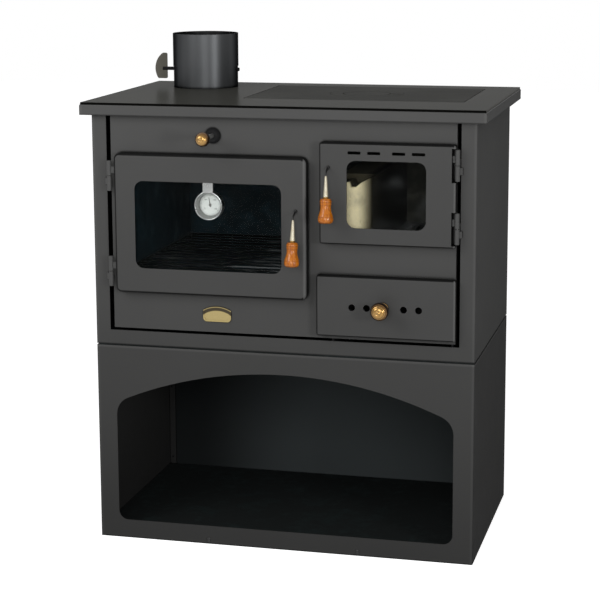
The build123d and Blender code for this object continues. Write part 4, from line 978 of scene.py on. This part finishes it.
class STOVE_OT_thermometer(StovePiece, bpy.types.Operator):
    """Oven thermometer behind the glass"""

    bl_idname = "stove.thermometer"
    bl_label = "Thermometer"

    def execute(self, context):
        """Dished cup on a folded strap, with a printed dial."""
        sizes, colours = context.scene.stove_sizes, context.scene.stove_colours
        bright = darker(colours.steel, 0.66)
        steel = bare_metal("thermometer steel", bright, 0.22, (60.0, 60.0, 60.0), depth=0.0)
        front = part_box("thermometer_case")[1].y - sizes.cup
        low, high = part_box("thermometer_dial")
        dial = middle_of("thermometer_dial")
        inner = (high.x - low.x) / 2
        self.cup(dial, front, high.y - front, inner, sizes.cup, steel)
        self.strap(dial, front, sizes.strap, steel)
        dress(dial_white("dial white", colours.dial, dial), "thermometer_dial")
        dress(printed_ink("pointer grey", colours.pointer), "thermometer_pointer")
        dress(stove_glass("lens", (1.0, 1.0, 1.0), 0.03), "thermometer_lens")
        self.scale(dial, low.y, inner, sizes, printed_ink("dial ink", colours.ink))
        return {"FINISHED"}

    def cup(self, dial, front, seat, inner, deep, steel):
        """A cup with a rolled lip, revolved about Y; the dial lies on its seat."""
        low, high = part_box("thermometer_case")
        wall = (high.x - low.x) / 2
        outline = [
            (seat, 0.0), (seat, inner), (2.6 * MM, wall - 3.2 * MM), (1.0 * MM, wall - 2.9 * MM),
            (0.25 * MM, wall - 2.2 * MM), (0.0, wall - 1.5 * MM), (0.25 * MM, wall - 0.6 * MM),
            (1.0 * MM, wall), (2.6 * MM, wall), (deep - 1.0 * MM, wall), (deep, wall - 1.0 * MM),
            (deep, 0.0),
        ]
        surface = turned(*np.transpose(outline), (dial[0], front, dial[2]), Y, 96)
        make_piece("thermometer_cup", *surface, steel, "oven_door", "steel", ("thermometer_case",))

    def strap(self, dial, front, width, steel):
        """A strip that rises from the cup's lip and bends back through a quarter circle to its end."""
        low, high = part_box("thermometer_case")
        bend, thickness = 1.5 * MM, 1.0 * MM
        top = high.z - thickness
        lip = dial[2] + (high.x - low.x) / 2 - 3.0 * MM
        rise = np.linspace(lip, top - bend, 12)
        turn = np.linspace(0.0, math.pi / 2, 8)[1:]
        y = np.concatenate([np.full(12, front), front - bend * (1 - np.cos(turn)), [low.y + 0.2 * MM]])
        z = np.concatenate([rise, top - bend + bend * np.sin(turn), [top]])
        path = np.stack([np.full(len(y), dial[0]), y, z], 1)
        make_piece("thermometer_strap", *banded(path, width, -thickness), steel, "oven_door", "steel")

    def scale(self, dial, face, inner, sizes, ink):
        """Ticks every 10 units on 250 degrees of arc, every fifth one long, and numbers by hundreds."""
        count = 31
        angle = np.radians(np.linspace(215.0, -35.0, count))
        out = np.cos(angle)[:, None] * X + np.sin(angle)[:, None] * Z
        long = np.arange(count) % 5 == 0
        reach = np.where(long, sizes.tick, sizes.tick * 0.55)
        thick = np.where(long, 0.55 * MM, 0.32 * MM)
        centres = dial + out * (inner - 1.2 * MM - reach[:, None] / 2)
        centres[:, 1] = face - 0.06 * MM
        directions = (out, np.cross(out, Y), np.tile(Y, (count, 1)))
        ticks = bars(centres, directions, (reach, thick, np.full(count, 0.1 * MM)))
        make_piece("dial_ticks", *ticks, ink, "oven_door", "dial")
        for i in range(0, count, 10):
            spot = dial + out[i] * (inner - 7.4 * MM)
            self.number(str(10 * i), (spot[0], face - 0.10 * MM, spot[2]), sizes.numeral, ink)

    def number(self, text, place, height, ink):
        """A printed number as a thin flat mesh, centred on its place."""
        curve = bpy.data.curves.new(f"number {text}", "FONT")
        curve.body = text
        curve.size = height
        curve.extrude = 0.04 * MM
        curve.align_x = "CENTER"
        curve.align_y = "CENTER"
        curve.resolution_u = 3
        shape = bpy.data.objects.new(f"number {text}", curve)
        bpy.context.scene.collection.objects.link(shape)
        bpy.context.view_layer.update()
        graph = bpy.context.evaluated_depsgraph_get()
        mesh = bpy.data.meshes.new_from_object(shape.evaluated_get(graph))
        bpy.data.objects.remove(shape)
        mesh.transform(Matrix.Translation(Vector(place)) @ Matrix.Rotation(math.pi / 2, 4, "X"))
        mesh.materials.clear()
        mesh.materials.append(ink)
        piece = bpy.data.objects.new(f"dial_number_{text}", mesh)
        bpy.context.scene.collection.objects.link(piece)
        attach(piece, "oven_door")


class STOVE_OT_oven(StovePiece, bpy.types.Operator):
    """Finish the oven and its rack"""

    bl_idname = "stove.oven"
    bl_label = "Oven"

    def execute(self, context):
        """Black walls, and sooted wires with painted glints."""
        colours = context.scene.stove_colours
        dress(soot_black("oven black", colours.oven), "oven_box", "oven_rack_rails")
        dress(sooted_wire_with_glints("rack wire", colours.rack), "oven_rack")
        return {"FINISHED"}


class STOVE_OT_firebox(StovePiece, bpy.types.Operator):
    """Finish the fire chamber: bricks, grate and liner"""

    bl_idname = "stove.firebox"
    bl_label = "Firebox"

    def execute(self, context):
        """One cream brick, smoked on top and with painted shade at its right corner and behind its front,
        two smoked ones, and a black liner and grate.
        """
        colours = context.scene.stove_colours
        smoked_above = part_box("firebrick_left")[1].z + 10.0 * MM
        clay = fired_clay("bridge brick", colours.brick, "firebrick_left", smoked_above)
        dress(clay, "firebrick_left")
        dress(soot_black("smoked brick", colours.smoked), "firebrick_right", "firebrick_back")
        dress(soot_black("liner black", colours.black), "firebox_liner")
        dress(ground_iron("grate iron", colours.grate, middle_of("grate")), "grate")
        return {"FINISHED"}


class STOVE_OT_ash_drawer(StovePiece, bpy.types.Operator):
    """Finish the ash drawer and its runners"""

    bl_idname = "stove.ash_drawer"
    bl_label = "Ash drawer"

    def execute(self, context):
        """Enamelled front, zinc-coated pan and black runners."""
        colours = context.scene.stove_colours
        shade = tray_shade("ash_drawer_front", 3.5 * MM)
        # painted shade: the drawer's enamel is a darker copy of the casing's
        front = enamel("drawer enamel", darker(colours.casing, 0.80), SATIN, shade=shade)
        dress(front, "ash_drawer_front")
        dress(bare_metal("pan zinc", colours.zinc, 0.5, (120.0, 120.0, 120.0)), "ash_pan")
        dress(soot_black("runner black", colours.black), "ash_runners")
        return {"FINISHED"}


class STOVE_OT_badge(StovePiece, bpy.types.Operator):
    """Bare badge plate"""

    bl_idname = "stove.badge"
    bl_label = "Badge plate"

    def execute(self, context):
        """A plain stippled field under a dark band."""
        colours = context.scene.stove_colours
        brass = badge_brass("badge brass", colours.badge, colours.badge_band, "badge_plate")
        dress(brass, "badge_plate")
        return {"FINISHED"}


class STOVE_OT_stage(StovePiece, bpy.types.Operator):
    """Floor, studio light and the photograph's camera"""

    bl_idname = "stove.stage"
    bl_label = "Stage"

    def execute(self, context):
        """Pale floor, three lamps, an even room light and the camera."""
        scene, light = context.scene, context.scene.stove_light
        self.floor(light.haze)
        scene.world = self.room(light.room)
        for name, (place, aim, side) in LAMPS.items():
            self.lamp(f"{name} lamp", place, aim, side, getattr(light, name))
        self.camera(scene)
        scene.view_settings.view_transform = "Standard"
        return {"FINISHED"}

    def floor(self, haze):
        """A large pale sheet: whitened for the camera, and darker for the light that it throws back."""
        mesh = bpy.data.meshes.new("studio floor")
        corners = [(x * FLOOR_HALF, y * FLOOR_HALF, 0) for x, y in ((-1, -1), (1, -1), (1, 1), (-1, 1))]
        mesh.from_pydata(corners, [], [(0, 1, 2, 3)])
        look = Finish("studio floor")
        dull = look.principled((0.45, 0.45, 0.45), 0.8, Specular_IOR_Level=0.1)
        white = look.tint((0.90, 0.90, 0.90), 0.98 + 0.04 * look.noise(2.0))
        pale = look.principled(white, 0.8, Specular_IOR_Level=0.1)
        glow = look.add("ShaderNodeEmission", {}, Strength=haze)
        bright = look.add("ShaderNodeAddShader", {}, pale, glow)
        mesh.materials.append(look.show(look.add("ShaderNodeMixShader", {}, look.seen(), dull, bright)))
        sheet = bpy.data.objects.new("studio_floor", mesh)
        bpy.context.scene.collection.objects.link(sheet)

    def room(self, strength):
        """White to the camera, to reflections and through glass; an even dim light for the rest."""
        look = Shading(bpy.data.worlds.new("studio"), "ShaderNodeOutputWorld")
        level = look.add("ShaderNodeMapRange", {}, look.seen(), To_Min=strength, To_Max=1.0)
        return look.show(look.add("ShaderNodeBackground", {}, (1.0, 1.0, 1.0), level))

    def lamp(self, name, place, aim, side, watts):
        """A square softbox that faces a point."""
        place, aim = (Vector((x, FRONT_Y + y, z)) for x, y, z in (place, aim))
        light = bpy.data.lights.new(name, "AREA")
        light.size = side
        light.energy = watts
        lamp = bpy.data.objects.new(name, light)
        lamp.location = place
        lamp.rotation_euler = (aim - place).to_track_quat("-Z", "Y").to_euler()
        bpy.context.scene.collection.objects.link(lamp)

    def camera(self, scene):
        """The camera of the photograph, from its yaw, pitch and roll."""
        data = bpy.data.cameras.new("photograph")
        data.lens = CAMERA_LENS
        data.sensor_width = CAMERA_SENSOR
        data.shift_y = CAMERA_SHIFT_Y
        across, along = math.cos(CAMERA_YAW), math.sin(CAMERA_YAW)
        flat, down = math.cos(CAMERA_PITCH), math.sin(CAMERA_PITCH)
        ahead = Vector((-along * flat, across * flat, -down))
        level = Vector((across, along, 0.0))
        upward = level.cross(ahead)
        right = math.cos(CAMERA_ROLL) * level + math.sin(CAMERA_ROLL) * upward
        up = math.cos(CAMERA_ROLL) * upward - math.sin(CAMERA_ROLL) * level
        turn = Matrix((right, up, -ahead)).transposed().to_4x4()
        place = Vector(CAMERA_PLACE) + Vector((0.0, FRONT_Y, 0.0))
        camera = bpy.data.objects.new("photograph", data)
        camera.matrix_world = Matrix.Translation(place) @ turn
        scene.collection.objects.link(camera)
        scene.camera = camera


OPERATORS = (
    STOVE_OT_casing, STOVE_OT_screws, STOVE_OT_hob, STOVE_OT_flue, STOVE_OT_doors, STOVE_OT_handles,
    STOVE_OT_knobs, STOVE_OT_thermometer, STOVE_OT_oven, STOVE_OT_firebox, STOVE_OT_ash_drawer,
    STOVE_OT_badge, STOVE_OT_stage,
)
SETTINGS = {"stove_sizes": StoveSizes, "stove_colours": StoveColours, "stove_light": StoveLight}


class STOVE_PT_sidebar(bpy.types.Panel):
    """The stove's settings and pieces"""

    bl_idname = "STOVE_PT_sidebar"
    bl_label = "Wood cookstove"
    bl_space_type = "VIEW_3D"
    bl_region_type = "UI"
    bl_category = "Stove"

    def draw(self, context):
        """Settings first, then one button for each operator."""
        for key, group in SETTINGS.items():
            box = self.layout.box()
            box.label(text=group.__doc__)
            for name in group.__annotations__:
                box.prop(getattr(context.scene, key), name)
        for operator in OPERATORS:
            self.layout.operator(operator.bl_idname)


def register():
    """Adds the settings, the operators and the panel."""
    for key, group in SETTINGS.items():
        bpy.utils.register_class(group)
        setattr(bpy.types.Scene, key, PointerProperty(type=group))
    for one in (*OPERATORS, STOVE_PT_sidebar):
        bpy.utils.register_class(one)


def unregister():
    """Takes them away again."""
    for one in (STOVE_PT_sidebar, *reversed(OPERATORS)):
        bpy.utils.unregister_class(one)
    for key, group in SETTINGS.items():
        delattr(bpy.types.Scene, key)
        bpy.utils.unregister_class(group)


def main():
    """Builds every piece in order."""
    register()
    for operator in OPERATORS:
        family, name = operator.bl_idname.split(".")
        getattr(getattr(bpy.ops, family), name)()


if __name__ == "__main__":
    main()
